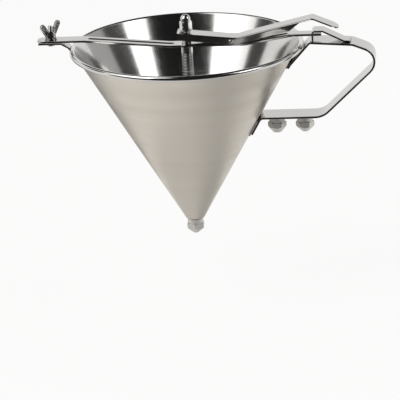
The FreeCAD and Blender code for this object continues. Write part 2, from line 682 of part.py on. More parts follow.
def make_clamp():
    slope_end = "bead_ring_radius + (%s + 2*weld_gap)*cos(lug_slope)" % ROLL_OUTSIDE
    fall = "(lug_bend_x - (%s))*tan(lug_slope)" % slope_end
    lug_under = LUG_TOP + " - lug_thickness"
    corners = [("-lug_end", lug_under), ("-lug_bend_x", lug_under),
               ("-(%s)" % slope_end, "%s - %s" % (lug_under, fall))]
    lug = bent_strip("rim_lug", corners, 1, "lug_thickness", "lug_width", ["lug_bend"])
    hole = new_sketch(lug, "rim_lug_hole", "XY_Plane")
    draw_circle(hole, ("-clamp_x", "0"), "clamp_radius + clamp_hole_gap")
    cut(lug, hole, "rim_lug_bore")
    place(lug, z="rim_height")

    head_top = lug_under + " - weld_gap"
    stud = turned("clamp_stud", [
        ("0", head_top + " - clamp_head_height"), ("clamp_head_radius", head_top + " - clamp_head_height"),
        ("clamp_head_radius", head_top), ("clamp_radius", head_top),
        ("clamp_radius", LUG_TOP + " + weld_gap"), ("spacer_radius", LUG_TOP + " + weld_gap"),
        ("spacer_radius", TAB_UNDER + " - weld_gap"), ("clamp_radius", TAB_UNDER + " - weld_gap"),
        ("clamp_radius", "clamp_top - nut_bevel"), ("clamp_radius - nut_bevel", "clamp_top"),
        ("0", "clamp_top")])
    place(stud, "-clamp_x", "rim_height")

    washer_hole = "clamp_radius + clamp_hole_gap"
    washer = turned("clamp_washer", [
        (washer_hole, "weld_gap"), ("washer_radius", "weld_gap"),
        ("washer_radius", "washer_thickness"), (washer_hole, "washer_thickness")])
    place(washer, "-clamp_x", "rim_height + bar_tab_height")

    nut = turned("wing_nut", [
        ("0", "0"), ("hub_low_radius", "0"), ("hub_low_radius", "washer_thickness"),
        ("hub_top_radius", "hub_height"), ("0", "hub_height")])
    tip_x = "(wing_reach - wing_tip_radius)"
    tip_z = "(wing_height - wing_tip_radius)"
    for name, way in (("near", ""), ("far", "-")):
        wing = new_sketch(nut, "wing_" + name, "XZ_Plane")
        corners = [(way + "clamp_radius", "washer_thickness"), (way + "hub_low_radius", "washer_thickness"),
                   (way + "wing_reach", tip_z), (way + "(%s - wing_tip_radius)" % tip_x, tip_z),
                   (way + "clamp_radius", "hub_height - washer_thickness")]
        arcs = {2: ((way + tip_x, tip_z), "wing_tip_radius", -1 if way else 1)}
        draw_outline(wing, corners, arcs)
        pad(nut, wing, "wing_%s_pad" % name, "wing_thickness", symmetric=True)
    bore = new_sketch(nut, "wing_nut_bore", "XY_Plane")
    draw_circle(bore, ("0", "0"), "clamp_radius + wing_thread_gap")
    cut(nut, bore, "wing_nut_thread")
    place(nut, "-clamp_x", "rim_height + bar_tab_height + washer_thickness + wing_seat_gap", "wing_turn")


# Crossbar: a slotted strip with a round eye at the rod and a tongue for the keeper

def make_bar():
    corners = [("-bar_left_end", "bar_tab_height"), ("-bar_left_bend", "bar_tab_height"),
               ("-bar_seat_left", "bar_seat_height"), ("bar_seat_right", "bar_seat_height"),
               ("bar_right_bend", "bar_tab_height"), ("tongue_end", "bar_tab_height")]
    bar = bent_strip("crossbar", corners, -1, "bar_thickness", "bar_width", ["bar_bend"] * 4)
    eye = new_sketch(bar, "crossbar_eye", "XY_Plane", BAR_UNDER)
    draw_circle(eye, ("0", "0"), "eye_radius")
    pad(bar, eye, "crossbar_eye_pad", "bar_thickness")
    openings = new_sketch(bar, "crossbar_openings", "XY_Plane")
    draw_slot(openings, "-left_slot_far", "-left_slot_near", "slot_width")
    draw_slot(openings, "right_slot_near", "right_slot_far", "slot_width")
    draw_circle(openings, ("-clamp_x", "0"), "clamp_radius + clamp_hole_gap")
    draw_circle(openings, ("0", "0"), "bush_radius + rod_fit")
    draw_circle(openings, ("pivot_x", "0"), "rivet_radius + rod_fit")
    cut(bar, openings, "crossbar_openings_cut")
    sides = new_sketch(bar, "crossbar_tongue", "XY_Plane")
    beyond = "tongue_end + bar_width"
    draw_rectangle(sides, "tongue_start", beyond, "tongue_width/2", "bar_width")
    draw_rectangle(sides, "tongue_start", beyond, "-bar_width", "-tongue_width/2")
    cut(bar, sides, "crossbar_tongue_cut")
    end_x = -number("bar_left_end")

    def end_corner(edge):
        ends = [vertex.Point for vertex in edge.Vertexes]
        return len(ends) == 2 and all(abs(end.x - end_x) < MATCH for end in ends) \
            and abs(ends[0].y - ends[1].y) < MATCH
    round_edges(bar, "crossbar_end", "bar_corner", end_corner)
    place(bar, z="rim_height")


# Guide bush, and the lever's hinge on the bar

def make_guide_and_pivot():
    hole = "rod_radius + slide_gap"
    bush = turned("guide_bush", [
        (hole, SPRING_TOP), ("bush_flange_radius", SPRING_TOP),
        ("bush_flange_radius", BAR_UNDER + " - weld_gap"), ("bush_radius", BAR_UNDER + " - weld_gap"),
        ("bush_radius", "bar_seat_height + bush_top"), (hole, "bar_seat_height + bush_top")])
    place(bush, z="rim_height")

    lug = new_body("pivot_lug")
    side = new_sketch(lug, "pivot_lug_side", "XZ_Plane")
    left = "pivot_x - pivot_lug_radius"
    right = "pivot_x + pivot_lug_radius"
    foot = "bar_seat_height + weld_gap"
    centre = ("pivot_x", PIVOT_HEIGHT)
    draw_outline(side, [(left, foot), (right, foot), (right, PIVOT_HEIGHT), (left, PIVOT_HEIGHT)],
                 {2: (centre, "pivot_lug_radius", 1)})
    pad(lug, side, "pivot_lug_block", "%s - 2*pivot_side_gap" % LEVER_INSIDE, symmetric=True)
    hole = new_sketch(lug, "pivot_lug_hole", "XZ_Plane")
    draw_circle(hole, centre, "pin_radius + pin_gap")
    cut(lug, hole, "pivot_lug_bore")
    place(lug, z="rim_height")

    rivet = turned("pivot_rivet", [
        ("0", BAR_UNDER + " - weld_gap - rivet_head_height"),
        ("rivet_head_radius", BAR_UNDER + " - weld_gap - rivet_head_height"),
        ("rivet_head_radius", BAR_UNDER + " - weld_gap"), ("rivet_radius", BAR_UNDER + " - weld_gap"),
        ("rivet_radius", "bar_seat_height"), ("0", "bar_seat_height")])
    place(rivet, "pivot_x", "rim_height")

    half = "%s/2 + pin_side_gap" % LEVER_OUTSIDE
    groove_end = half + " + clip_thickness + pin_side_gap"
    pin = turned("pivot_pin", [
        ("0", "-(%s) - pin_head_height" % half), ("pin_head_radius", "-(%s) - pin_head_height" % half),
        ("pin_head_radius", "-(%s)" % half), ("pin_radius", "-(%s)" % half),
        ("pin_radius", half), ("clip_groove_radius", half),
        ("clip_groove_radius", groove_end), ("pin_radius", groove_end),
        ("pin_radius", groove_end + " + pin_end"), ("0", groove_end + " + pin_end")])
    clip = new_body("pin_clip")
    ring = new_sketch(clip, "pin_clip_ring", "XY_Plane", half + " + pin_side_gap/2")
    draw_circle(ring, ("0", "0"), "clip_radius")
    draw_circle(ring, ("0", "0"), "clip_groove_radius + pin_fit")
    pad(clip, ring, "pin_clip_plate", "clip_thickness")
    mouth = new_sketch(clip, "pin_clip_mouth", "XY_Plane")
    draw_rectangle(mouth, "0", "2*clip_radius", "-clip_mouth/2", "clip_mouth/2")
    cut(clip, mouth, "pin_clip_mouth_cut")
    along_y = FreeCAD.Rotation(FreeCAD.Vector(1, 0, 0), -90)
    for body in (pin, clip):
        body.Placement.Rotation = along_y
        place(body, "pivot_x", "rim_height + " + PIVOT_HEIGHT)


# Lever: a channel with its open side down, bent over the pivot, with a thumb pad

def make_lever():
    def short_arm(x):
        return "%s + (lever_bend_x - (%s))*tan(left_slope)" % (WEB_BEND, x)

    def long_arm(x):
        return "%s + ((%s) - lever_bend_x)*tan(right_slope)" % (WEB_BEND, x)

    lever = new_body("lever")
    peak_z = long_arm("peak_x")
    pad_x = "peak_x + pad_reach"
    pad_z = "%s - pad_reach*tan(pad_slope)" % peak_z
    mitre = "lever_thickness/(1 + cos(right_slope + pad_slope))"
    under_peak = ("peak_x + (sin(right_slope) - sin(pad_slope))*" + mitre,
                  peak_z + " - (cos(right_slope) + cos(pad_slope))*" + mitre)
    web_left = "lever_thickness/cos(left_slope)"
    web_right = "lever_thickness/cos(right_slope)"
    corners = [
        ("-lever_end", short_arm("-lever_end")),
        ("lever_bend_x", WEB_BEND),
        ("peak_x", peak_z),
        (pad_x, pad_z),
        (pad_x + " - lever_thickness*sin(pad_slope)", pad_z + " - lever_thickness*cos(pad_slope)"),
        under_peak,
        ("flange_end_top", "%s - %s" % (long_arm("flange_end_top"), web_right)),
        ("flange_end_low", long_arm("flange_end_low") + " - flange_depth"),
        ("lever_bend_x", WEB_BEND + " - flange_depth"),
        ("-flange_end_left", short_arm("-flange_end_left") + " - flange_depth")]
    outline = new_sketch(lever, "lever_side", "XZ_Plane")
    draw_outline(outline, corners)
    pad(lever, outline, "lever_blank", LEVER_OUTSIDE, symmetric=True)

    beyond_left = "-2*lever_end"
    below = "-2*flange_depth"
    shift = "(%s - %s)/(tan(left_slope) + tan(right_slope))" % (web_right, web_left)
    web_corner = ("lever_bend_x + " + shift, "%s - %s" % (short_arm("lever_bend_x + " + shift), web_left))
    hollow_end = "(flange_end_top + peak_x)/2"
    hollow = new_sketch(lever, "lever_hollow", "XZ_Plane")
    draw_outline(hollow, [
        (beyond_left, "%s - %s" % (short_arm(beyond_left), web_left)), web_corner,
        (hollow_end, "%s - %s" % (long_arm(hollow_end), web_right)),
        (hollow_end, below), (beyond_left, below)])
    cut(lever, hollow, "lever_hollow_cut", LEVER_INSIDE)
    holes = new_sketch(lever, "lever_pin_holes", "XZ_Plane")
    draw_circle(holes, ("pivot_x", PIVOT_HEIGHT), "pin_radius + pin_fit")
    cut(lever, holes, "lever_pin_bore")
    hole = new_sketch(lever, "lever_rod_hole", "XY_Plane")
    draw_circle(hole, ("0", "0"), "web_hole_radius")
    cut(lever, hole, "lever_rod_bore")

    pad_middle = (spot(corners[3]) + spot(corners[4])) * 0.5

    def pad_corner_edge(edge):
        middle = edge.CenterOfMass
        beside = abs(middle.y) > number(LEVER_INSIDE) / 2
        return beside and math.hypot(middle.x - pad_middle.x, middle.z - pad_middle.y) < MATCH
    round_edges(lever, "lever_pad_corners", "pad_corner", pad_corner_edge)
    round_edges(lever, "lever_bend_top", "lever_bend", across_at(spot(corners[1])))
    round_edges(lever, "lever_bend_under", "lever_bend + lever_thickness", across_at(spot(web_corner)))
    round_edges(lever, "lever_bend_low", "lever_bend + flange_depth", across_at(spot(corners[8])))
    round_edges(lever, "lever_peak_under", "peak_bend", across_at(spot(under_peak)))
    round_edges(lever, "lever_peak_top", "peak_bend + lever_thickness", across_at(spot(corners[2])))
    place(lever, z="rim_height")


# Stopper: rod, plug and what is fixed on the rod

def make_stopper():
    def plug_cone(height):
        return ("bore_radius + (%s - seat_height)*tan(seat_angle) - seat_gap/cos(seat_angle)" % height)

    hole = "rod_radius + rod_fit"
    turned("stopper_plug", [
        ("0", "plug_low_height"), (plug_cone("plug_low_height"), "plug_low_height"),
        (plug_cone("plug_wide_height"), "plug_wide_height"),
        (plug_cone("plug_wide_height"), "plug_wide_height + plug_land"),
        ("plug_neck_radius", "plug_neck_height"), ("plug_neck_radius", "plug_top_height"),
        (hole, "plug_top_height"), (hole, "rod_low_height - rod_fit"), ("0", "rod_low_height - rod_fit")])

    rod_top = "rim_height + %s + acorn_depth - rod_end_gap" % ACORN_FOOT
    turned("stopper_rod", [
        ("0", "rod_low_height"), ("rod_radius", "rod_low_height"),
        ("rod_radius", rod_top + " - nut_bevel"), ("rod_radius - nut_bevel", rod_top), ("0", rod_top)])

    ring = turned("spring_collar", [
        (hole, "-ring_height"), ("ring_radius", "-ring_height"), ("ring_radius", "0"), (hole, "0")])
    screw_hole = new_sketch(ring, "spring_collar_hole", "YZ_Plane", "(ring_radius + rod_radius)/2")
    draw_circle(screw_hole, ("0", "-ring_height/2"), "screw_radius + rod_fit")
    cut(ring, screw_hole, "spring_collar_bore", "ring_radius")
    place(ring, z="rim_height + " + SPRING_FOOT)
    screw = doc.addObject("Part::Cylinder", "collar_screw")
    screw.Label = "collar_screw"
    bind(screw, "Radius", "screw_radius")
    bind(screw, "Height", "ring_radius - rod_radius - rod_fit")
    screw.Placement.Rotation = FreeCAD.Rotation(FreeCAD.Vector(0, 1, 0), 90)
    bind(screw, "Placement.Base.x", "rod_radius + rod_fit")
    bind(screw, "Placement.Base.z", "rim_height + %s - ring_height/2" % SPRING_FOOT)

    washer = turned("lift_washer", [
        (hole, "0"), ("lift_flat_radius", "0"), ("lift_radius", "lift_bevel"),
        ("lift_radius", "lift_height"), (hole, "lift_height")])
    place(washer, z="rim_height + " + LIFT_FOOT)


def make_nuts():
    corner = "nut_flats/sqrt(3)"
    hole = "rod_radius + rod_fit"
    clear = "nut_flats"

    def bevel(body, name, foot, way):
        """Bevel a hexagon's corners at one end: way is + above its foot and - below its top."""
        turn_away(body, name, [
            (corner + " - nut_bevel", foot), (clear, foot),
            (clear, "%s %s (%s - %s + nut_bevel)*tan(30)" % (foot, way, clear, corner))])

    jam = new_body("jam_nut")
    side = new_sketch(jam, "jam_nut_hexagon", "XY_Plane")
    draw_hexagon(side, "nut_flats")
    pad(jam, side, "jam_nut_bar", "jam_height")
    bevel(jam, "jam_nut_low_bevel", "0", "+")
    bevel(jam, "jam_nut_top_bevel", "jam_height", "-")
    thread = new_sketch(jam, "jam_nut_bore", "XY_Plane")
    draw_circle(thread, ("0", "0"), hole)
    cut(jam, thread, "jam_nut_thread")
    place(jam, z="rim_height + " + JAM_FOOT)

    acorn = new_body("acorn_nut")
    side = new_sketch(acorn, "acorn_nut_hexagon", "XY_Plane")
    draw_hexagon(side, "nut_flats")
    pad(acorn, side, "acorn_nut_bar", "acorn_hex_height")
    bevel(acorn, "acorn_nut_low_bevel", "0", "+")
    bevel(acorn, "acorn_nut_top_bevel", "acorn_hex_height", "-")
    dome_foot = "acorn_height - acorn_radius"
    revolve(acorn, "acorn_nut_dome", "Revolution", [
        ("0", "acorn_hex_height/2"), ("acorn_radius", "acorn_hex_height/2"),
        ("acorn_radius", dome_foot), ("0", "acorn_height")],
        {2: (("0", dome_foot), "acorn_radius", 1)})
    turn_away(acorn, "acorn_nut_thread", [
        ("0", "0"), (hole, "0"), (hole, "acorn_depth"), ("0", "acorn_depth")])
    place(acorn, z="rim_height + " + ACORN_FOOT)


# Return spring: one wire, wound as pairs of arcs of a quarter turn each

def arc_middle(first, corner, last):
    """Middle of the arc that touches both lines of an even corner."""
    middle = (first + last) * 0.5
    half_chord = (last - first).Length / 2
    rise = (corner - middle).Length
    angle = math.atan2(rise, half_chord)
    return middle + (corner - middle) * (math.tan(angle / 2) * half_chord / rise)


def biarc(first, first_way, last, last_way):
    """Join two points with two arcs that leave and arrive along the given directions."""
    chord = last - first
    both = first_way + last_way
    spread = 2 * (1 - first_way.dot(last_way))
    along = chord.dot(both)
    reach = (math.sqrt(along * along + spread * chord.dot(chord)) - along) / spread
    near = first + first_way * reach
    far = last - last_way * reach
    joint = (near + far) * 0.5
    return [Part.Arc(first, arc_middle(first, near, joint), joint).toShape(),
            Part.Arc(joint, arc_middle(joint, far, last), last).toShape()]


SPRING_SAMPLES = 8


def make_spring():
    radius = number("spring_mean_radius")
    wire = number("spring_wire_radius")
    turns = number("spring_turns")
    low = number("rim_height + %s + spring_end_gap + spring_wire_radius" % SPRING_FOOT)
    high = number("rim_height + %s - spring_end_gap - spring_wire_radius" % SPRING_TOP)
    tail = 2 * wire
    quarters = int(round(4 * turns))
    climb = (high - low) / quarters
    sideways = math.pi / 2 * radius
    level = math.hypot(sideways, climb)
    tail_climb = tail * climb / level
    climb = (high - low - 2 * tail_climb) / quarters
    level = math.hypot(sideways, climb)
    points = []
    ways = []
    for quarter in range(quarters + 1):
        angle = math.pi / 2 * quarter
        points.append(FreeCAD.Vector(radius * math.cos(angle), radius * math.sin(angle),
                                     low + tail_climb + climb * quarter))
        way = FreeCAD.Vector(-math.sin(angle) * sideways, math.cos(angle) * sideways, climb)
        ways.append(way * (1 / level))
    start = points[0] - ways[0] * tail
    end = points[-1] + ways[-1] * tail
    edges = [Part.LineSegment(start, points[0]).toShape()]
    for quarter in range(quarters):
        edges += biarc(points[quarter], ways[quarter], points[quarter + 1], ways[quarter + 1])
    edges.append(Part.LineSegment(points[-1], end).toShape())
    path = Part.Wire(edges)
    section = Part.Wire([Part.Circle(start, ways[0], wire).toShape()])
    tube = path.makePipeShell([section], True, False)
    samples = path.discretize(Number=SPRING_SAMPLES * quarters)
    apart = 2 * SPRING_SAMPLES
    nearest = min((samples[early] - samples[late]).Length
                  for early in range(len(samples)) for late in range(early + apart, len(samples)))
    print("return spring: %d quarter turns, least gap to itself %.2f mm" % (quarters, nearest - 2 * wire))
    print("return spring: volume %.2f of %.2f" % (tube.Volume, math.pi * wire ** 2 * path.Length))
    spring = doc.addObject("Part::Feature", "return_spring")
    spring.Label = "return_spring"
    spring.Shape = tube
    spring.Placement = FreeCAD.Placement()


make_cone()
make_socket()
make_nozzles()
make_handle()
make_keeper()
make_clamp()
make_bar()
make_guide_and_pivot()
make_lever()
make_stopper()
make_nuts()
make_spring()
doc.recompute()

# Check every object, then write one file for each piece
for item in doc.Objects:
    assert not {"Invalid", "Error"} & set(item.State), item.Label + " failed"
pieces = [item for item in doc.Objects
          if item.TypeId in ("PartDesign::Body", "Part::Torus", "Part::Cylinder", "Part::Feature")]
for piece in pieces:
    shape = piece.Shape
    whole = not shape.isNull() and shape.isValid() and len(shape.Solids) == 1
    assert whole, piece.Label + " is not one solid"
os.makedirs("parts", exist_ok=True)
for piece in pieces:
    piece.Shape.exportStep("parts/%s.step" % piece.Label)
    print("%-20s %9.1f mm3" % (piece.Label, piece.Shape.Volume))
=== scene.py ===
# %% [markdown]
# # A dispensing funnel
# The object is a spun steel cone with a strap handle. A thumb lever lifts a sprung stopper off the
# outlet. This lesson dresses its measured model: each piece is made again as a clean mesh with soft
# edges, at the measured size, and then gets a finish from shader nodes.
# The measured model is loaded first. It gives the bodies that the new pieces move with.

# %% Load the measured model
import math
import bmesh
import bpy
from mathutils import Matrix, Vector


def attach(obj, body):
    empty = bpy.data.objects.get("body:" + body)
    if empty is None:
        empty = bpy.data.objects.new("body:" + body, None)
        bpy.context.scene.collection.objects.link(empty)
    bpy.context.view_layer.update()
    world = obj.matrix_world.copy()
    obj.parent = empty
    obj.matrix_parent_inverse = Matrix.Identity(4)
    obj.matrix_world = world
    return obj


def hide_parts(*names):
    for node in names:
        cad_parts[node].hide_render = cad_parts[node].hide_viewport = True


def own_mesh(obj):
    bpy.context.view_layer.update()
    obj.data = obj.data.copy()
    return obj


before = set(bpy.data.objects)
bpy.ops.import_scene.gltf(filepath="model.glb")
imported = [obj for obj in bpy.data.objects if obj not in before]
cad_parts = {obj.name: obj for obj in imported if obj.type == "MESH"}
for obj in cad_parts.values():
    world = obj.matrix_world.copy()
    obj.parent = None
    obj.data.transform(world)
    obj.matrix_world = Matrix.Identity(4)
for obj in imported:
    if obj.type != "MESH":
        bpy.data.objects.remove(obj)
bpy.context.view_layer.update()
scene = bpy.context.scene
scene.view_settings.view_transform = "Standard"

# %% [markdown]
# ## The camera
# The photograph looks a little down on the rim, from slightly to the right, and the funnel leans in
# the frame. A long lens from far away keeps the rim's ellipse even. The camera is set from what was
# measured in the picture: where the rim's centre lies, how large a pixel is there, and the lean.

# %% What the photograph gives for the camera
MM = 0.001
RIM_HEIGHT = 181.0
PICTURE = 400
PIXEL = 0.924 * MM
RIM_PIXEL = (186.8, 46.2)
TURN = math.radians(5.0)
LOOK_DOWN = math.radians(16.1)
LEAN = math.radians(2.9)
DISTANCE = 4.0
print("one pixel is %.3f mm wide at the rim" % (PIXEL / MM))

# %% [markdown]
# A camera looks along its own -Z axis, with +Y up in the picture, so its matrix can be put together
# from three directions and a place. A Track To constraint would aim it too, but it keeps the picture
# level, and here the funnel leans. The aim lies beside the rim's centre by as much as the picture's
# middle does.

# %% Camera at the photograph's viewing angle
UP = Vector((0, 0, 1))
SENSOR = 36.0


def leaning_axes(ray):
    """Right and up in the picture for a view along a ray, with the lean."""
    right = ray.cross(UP).normalized()
    up = right.cross(ray)
    return (right * math.cos(LEAN) - up * math.sin(LEAN),
            up * math.cos(LEAN) + right * math.sin(LEAN))


view_ray = Vector((-math.sin(TURN) * math.cos(LOOK_DOWN), math.cos(TURN) * math.cos(LOOK_DOWN),
                   -math.sin(LOOK_DOWN)))
rim_centre = Vector((0, 0, RIM_HEIGHT * MM))
picture_right, picture_up = leaning_axes(view_ray)
middle = PICTURE / 2
aim = (rim_centre + picture_right * ((middle - RIM_PIXEL[0]) * PIXEL)
       + picture_up * ((RIM_PIXEL[1] - middle) * PIXEL))
eye = rim_centre - view_ray * DISTANCE
aim_ray = (aim - eye).normalized()
camera_right, camera_up = leaning_axes(aim_ray)
lens = bpy.data.cameras.new("photo_camera")
lens.sensor_fit = "HORIZONTAL"
lens.sensor_width = SENSOR
lens.lens = SENSOR * DISTANCE / (PICTURE * PIXEL)
camera = bpy.data.objects.new("photo_camera", lens)
scene.collection.objects.link(camera)
turn = Matrix((camera_right, camera_up, -aim_ray)).transposed()
camera.matrix_world = Matrix.Translation(eye) @ turn.to_4x4()
scene.camera = camera
print("lens: %.0f mm from %.1f m" % (lens.lens, DISTANCE))

# %% [markdown]
# ## The set: surround, floor, cards and lamps
# Polished steel has no look of its own: it shows what stands round it. The photograph's set was
# white, with dark gaps between the lights, and the inside of the cone shows them as upright bands.
# So the set here is a pale floor and a white surround, with dark cards that only reflections see.
# One way would be to paint the bands on the cone, but then they would not move with the view.
# The surround comes first. It gives a soft light from all sides, a little below white, and the Light
# Path node makes it plain white where the camera or a reflection sees it.

# %% White surround
SURROUND_LIGHT = 0.75
SURROUND_TINT = (1.0, 0.99, 0.98, 1)
WHITE = (1, 1, 1, 1)
SEEN_BY = ("Is Camera Ray", "Is Glossy Ray", "Is Transmission Ray")


def shown_to(nodes, links, kinds):
    """A value of 1 for the given kinds of rays, from one Light Path node."""
    path = nodes.new("ShaderNodeLightPath")
    total = path.outputs[kinds[0]]
    for kind in kinds[1:]:
        most = nodes.new("ShaderNodeMath")
        most.operation = "MAXIMUM"
        links.new(total, most.inputs[0])
        links.new(path.outputs[kind], most.inputs[1])
        total = most.outputs[0]
    return total


def white_surround(strength):
    """A world that is white to look at and lights the set with the given strength."""
    world = bpy.data.worlds.new("white_surround")
    scene.world = world
    world.use_nodes = True
    nodes, links = world.node_tree.nodes, world.node_tree.links
    light = nodes["Background"]
    light.inputs["Color"].default_value = SURROUND_TINT
    light.inputs["Strength"].default_value = strength
    seen = nodes.new("ShaderNodeBackground")
    seen.inputs["Color"].default_value = WHITE
    mix = nodes.new("ShaderNodeMixShader")
    links.new(shown_to(nodes, links, SEEN_BY), mix.inputs[0])
    links.new(light.outputs[0], mix.inputs[1])
    links.new(seen.outputs[0], mix.inputs[2])
    links.new(mix.outputs[0], nodes["World Output"].inputs["Surface"])


white_surround(SURROUND_LIGHT)
print("surround lights with a strength of", SURROUND_LIGHT)

# %% [markdown]
# The floor lies below the nozzle and runs so far out that its edges never show. It is made of two
# sheets, because the front one is hidden from reflections: a dark card reaches down behind it, and the
# steel has to see that card. A Plane from Blender's menu would do, but a helper that takes corners in
# millimetres serves the cards too.

# %% Sheets of the floor
FLOOR_HEIGHT = -75.0
FLOOR_FRONT = -360.0
FLOOR_REACH = 6000


def sheet_of(name, corners, faces):
    """A thin sheet of the set, from corners in mm."""
    mesh = bpy.data.meshes.new(name)
    mesh.from_pydata([[value * MM for value in corner] for corner in corners], [], faces)
    thing = bpy.data.objects.new(name, mesh)
    scene.collection.objects.link(thing)
    return thing


def level_sheet(name, left, right, front, back, height):
    """A level rectangle of the set."""
    return sheet_of(name, [(left, front, height), (right, front, height), (right, back, height),
                           (left, back, height)], [(0, 1, 2, 3)])


floor = level_sheet("pale_floor", -FLOOR_REACH, FLOOR_REACH, FLOOR_FRONT, FLOOR_REACH, FLOOR_HEIGHT)
apron = level_sheet("pale_floor_front", -FLOOR_REACH, FLOOR_REACH, -FLOOR_REACH, FLOOR_FRONT, FLOOR_HEIGHT)
apron.visible_glossy = False
print("floor %.0f mm below the nozzle" % -FLOOR_HEIGHT)

# %% [markdown]
# The floor's matt paint takes the shadow. Where the floor is seen, plain white takes the place of most
# of the paint, which keeps the background pale without more light on the steel. A brighter lamp would
# whiten the floor as well, but it would burn out the object first.

# %% Floor paint
FLOOR_PAINT = (0.93, 0.925, 0.92, 1)
FLOOR_ROUGHNESS = 0.8
FLOOR_WHITE_SHARE = 0.8


def floor_paint():
    """Matt paint that is mostly white where it is seen."""
    pale = bpy.data.materials.new("pale_floor")
    pale.use_nodes = True
    nodes, links = pale.node_tree.nodes, pale.node_tree.links
    paint = nodes["Principled BSDF"]
    paint.inputs["Base Color"].default_value = FLOOR_PAINT
    paint.inputs["Roughness"].default_value = FLOOR_ROUGHNESS
    seen = nodes.new("ShaderNodeEmission")
    share = nodes.new("ShaderNodeMath")
    share.operation = "MULTIPLY"
    share.inputs[1].default_value = FLOOR_WHITE_SHARE
    blend = nodes.new("ShaderNodeMixShader")
    links.new(shown_to(nodes, links, SEEN_BY), share.inputs[0])
    links.new(share.outputs[0], blend.inputs[0])
    links.new(paint.outputs[0], blend.inputs[1])
    links.new(seen.outputs[0], blend.inputs[2])
    links.new(blend.outputs[0], nodes["Material Output"].inputs["Surface"])
    return pale


pale = floor_paint()
floor.data.materials.append(pale)
apron.data.materials.append(pale)
print("floor paint: %.0f%% white where it is seen" % (100 * FLOOR_WHITE_SHARE))

# %% [markdown]
# The cards stand in a ring round the object. Each is a bent wall between two bearings, counted from
# the camera side towards the handle, and between two heights of view. A card is hidden from the
# camera and from matt surfaces, and it casts no shadow, so it changes only what the steel mirrors.
# Flat cards would do as well, but a bent wall keeps its edges at one height of view.

# %% A card that only reflections see
CARD_DISTANCE = 1500.0
CARD_STEP = 4.0


def only_reflected(wall, shade):
    """Give a card its shade, and hide it from all but reflections."""
    wall.visible_camera = False
    wall.visible_diffuse = False
    wall.visible_shadow = False
    matt = bpy.data.materials.new(wall.name)
    matt.use_nodes = True
    nodes = matt.node_tree.nodes
    glow = nodes.new("ShaderNodeEmission")
    glow.inputs["Color"].default_value = (shade, shade, shade, 1)
    matt.node_tree.links.new(glow.outputs[0], nodes["Material Output"].inputs["Surface"])
    wall.data.materials.append(matt)
    return wall


def card(name, bearings, heights, shade):
    """A bent wall between two bearings and two heights of view, all in degrees."""
    steps = max(2, int(abs(bearings[1] - bearings[0]) / CARD_STEP))
    corners, faces = [], []
    for step in range(steps + 1):
        bearing = math.radians(bearings[0] + (bearings[1] - bearings[0]) * step / steps)
        for height in heights:
            rise = CARD_DISTANCE * math.tan(math.radians(height))
            corners.append((CARD_DISTANCE * math.sin(bearing), -CARD_DISTANCE * math.cos(bearing),
                            RIM_HEIGHT + rise))
    for step in range(steps):
        faces.append((2 * step, 2 * step + 2, 2 * step + 3, 2 * step + 1))
    return only_reflected(sheet_of(name, corners, faces), shade)


print("cards stand %.1f m from the axis" % (CARD_DISTANCE * MM))

# %% [markdown]
# The bearings come from the bands that the inside of the cone shows. A hollow shape swaps the sides:
# the cards on the left bound the bands on the inside right. The card above the camera makes the wide
# dark band in the middle, and the one before the object darkens the strips' upright edges. The
# back card and the ceiling are for rounded edges that face up, which would be plain white without them.

# %% Cards round the cone
CEILING_HEIGHT = 1700.0
CEILING_SHADE = 0.02
card("dark_card_above_camera", (-32, 56), (12, 80), 0.012)
card("dark_card_front", (-75, 75), (-48, 12), 0.03)
card("dark_card_right", (82, 110), (10, 42), 0.06)
card("dark_card_left", (-107, -84), (8, 37), 0.06)
card("bright_card_left", (-84, -70), (8, 60), 1.5)
card("grey_card_right", (110, 140), (5, 42), 0.50)
card("dark_card_back", (115, 240), (28, 66), 0.03)
only_reflected(level_sheet("dark_card_ceiling", -250, 1300, -500, 1300, CEILING_HEIGHT), CEILING_SHADE)
print("cards: 7 upright and a ceiling")

# %% [markdown]
# The outside of the cone leans over the floor, so it mirrors what lies close under it. In the
# photograph that side turns softly from light to dark and back. Fans that lie just over the floor do
# this: their shade changes with the bearing, as a colour kept on each corner. A painted gradient on
# the cone would be simpler, but it would stay in place when the view moves.

# %% Graded fans over the floor
FAN_RISE = 3.0
LOW_FAN_RISE = 6.0


def floor_fan(name, bearings, radii, darkest, shades, spread, rise=FAN_RISE):
    """A fan just over the floor, in the second shade at its darkest bearing and the first far from it."""
    corners, faces, tones = [], [], []
    steps = int((bearings[1] - bearings[0]) / CARD_STEP)
    for step in range(steps + 1):
        bearing = bearings[0] + (bearings[1] - bearings[0]) * step / steps
        near = math.exp(-((bearing - darkest) / spread) ** 2)
        tone = shades[0] + (shades[1] - shades[0]) * near
        turn = math.radians(bearing)
        for radius in radii:
            corners.append((radius * math.sin(turn), -radius * math.cos(turn), FLOOR_HEIGHT + rise))
            tones.append(tone)
    for step in range(steps):
        faces.append((2 * step, 2 * step + 1, 2 * step + 3, 2 * step + 2))
    fan = only_reflected(sheet_of(name, corners, faces), shades[1])
    colours = fan.data.color_attributes.new("shade", "FLOAT_COLOR", "POINT")
    for point, tone in zip(colours.data, tones):
        point.color = (tone, tone, tone, 1)
    nodes, links = fan.data.materials[0].node_tree.nodes, fan.data.materials[0].node_tree.links
    graded = nodes.new("ShaderNodeAttribute")
    graded.attribute_name = "shade"
    links.new(graded.outputs["Color"], nodes["Emission"].inputs["Color"])


floor_fan("grey_fan_front", (-48, 152), (4.0, 330.0), 52, (0.95, 0.55), 46)
floor_fan("grey_fan_low", (-105, 255), (4.0, 140.0), 95, (0.76, 0.53), 62, rise=LOW_FAN_RISE)
floor_fan("grey_fan_left", (-200, -104), (240.0, 1200.0), -142, (0.95, 0.22), 22)
print("fans: 3, from %.0f mm over the floor" % FAN_RISE)

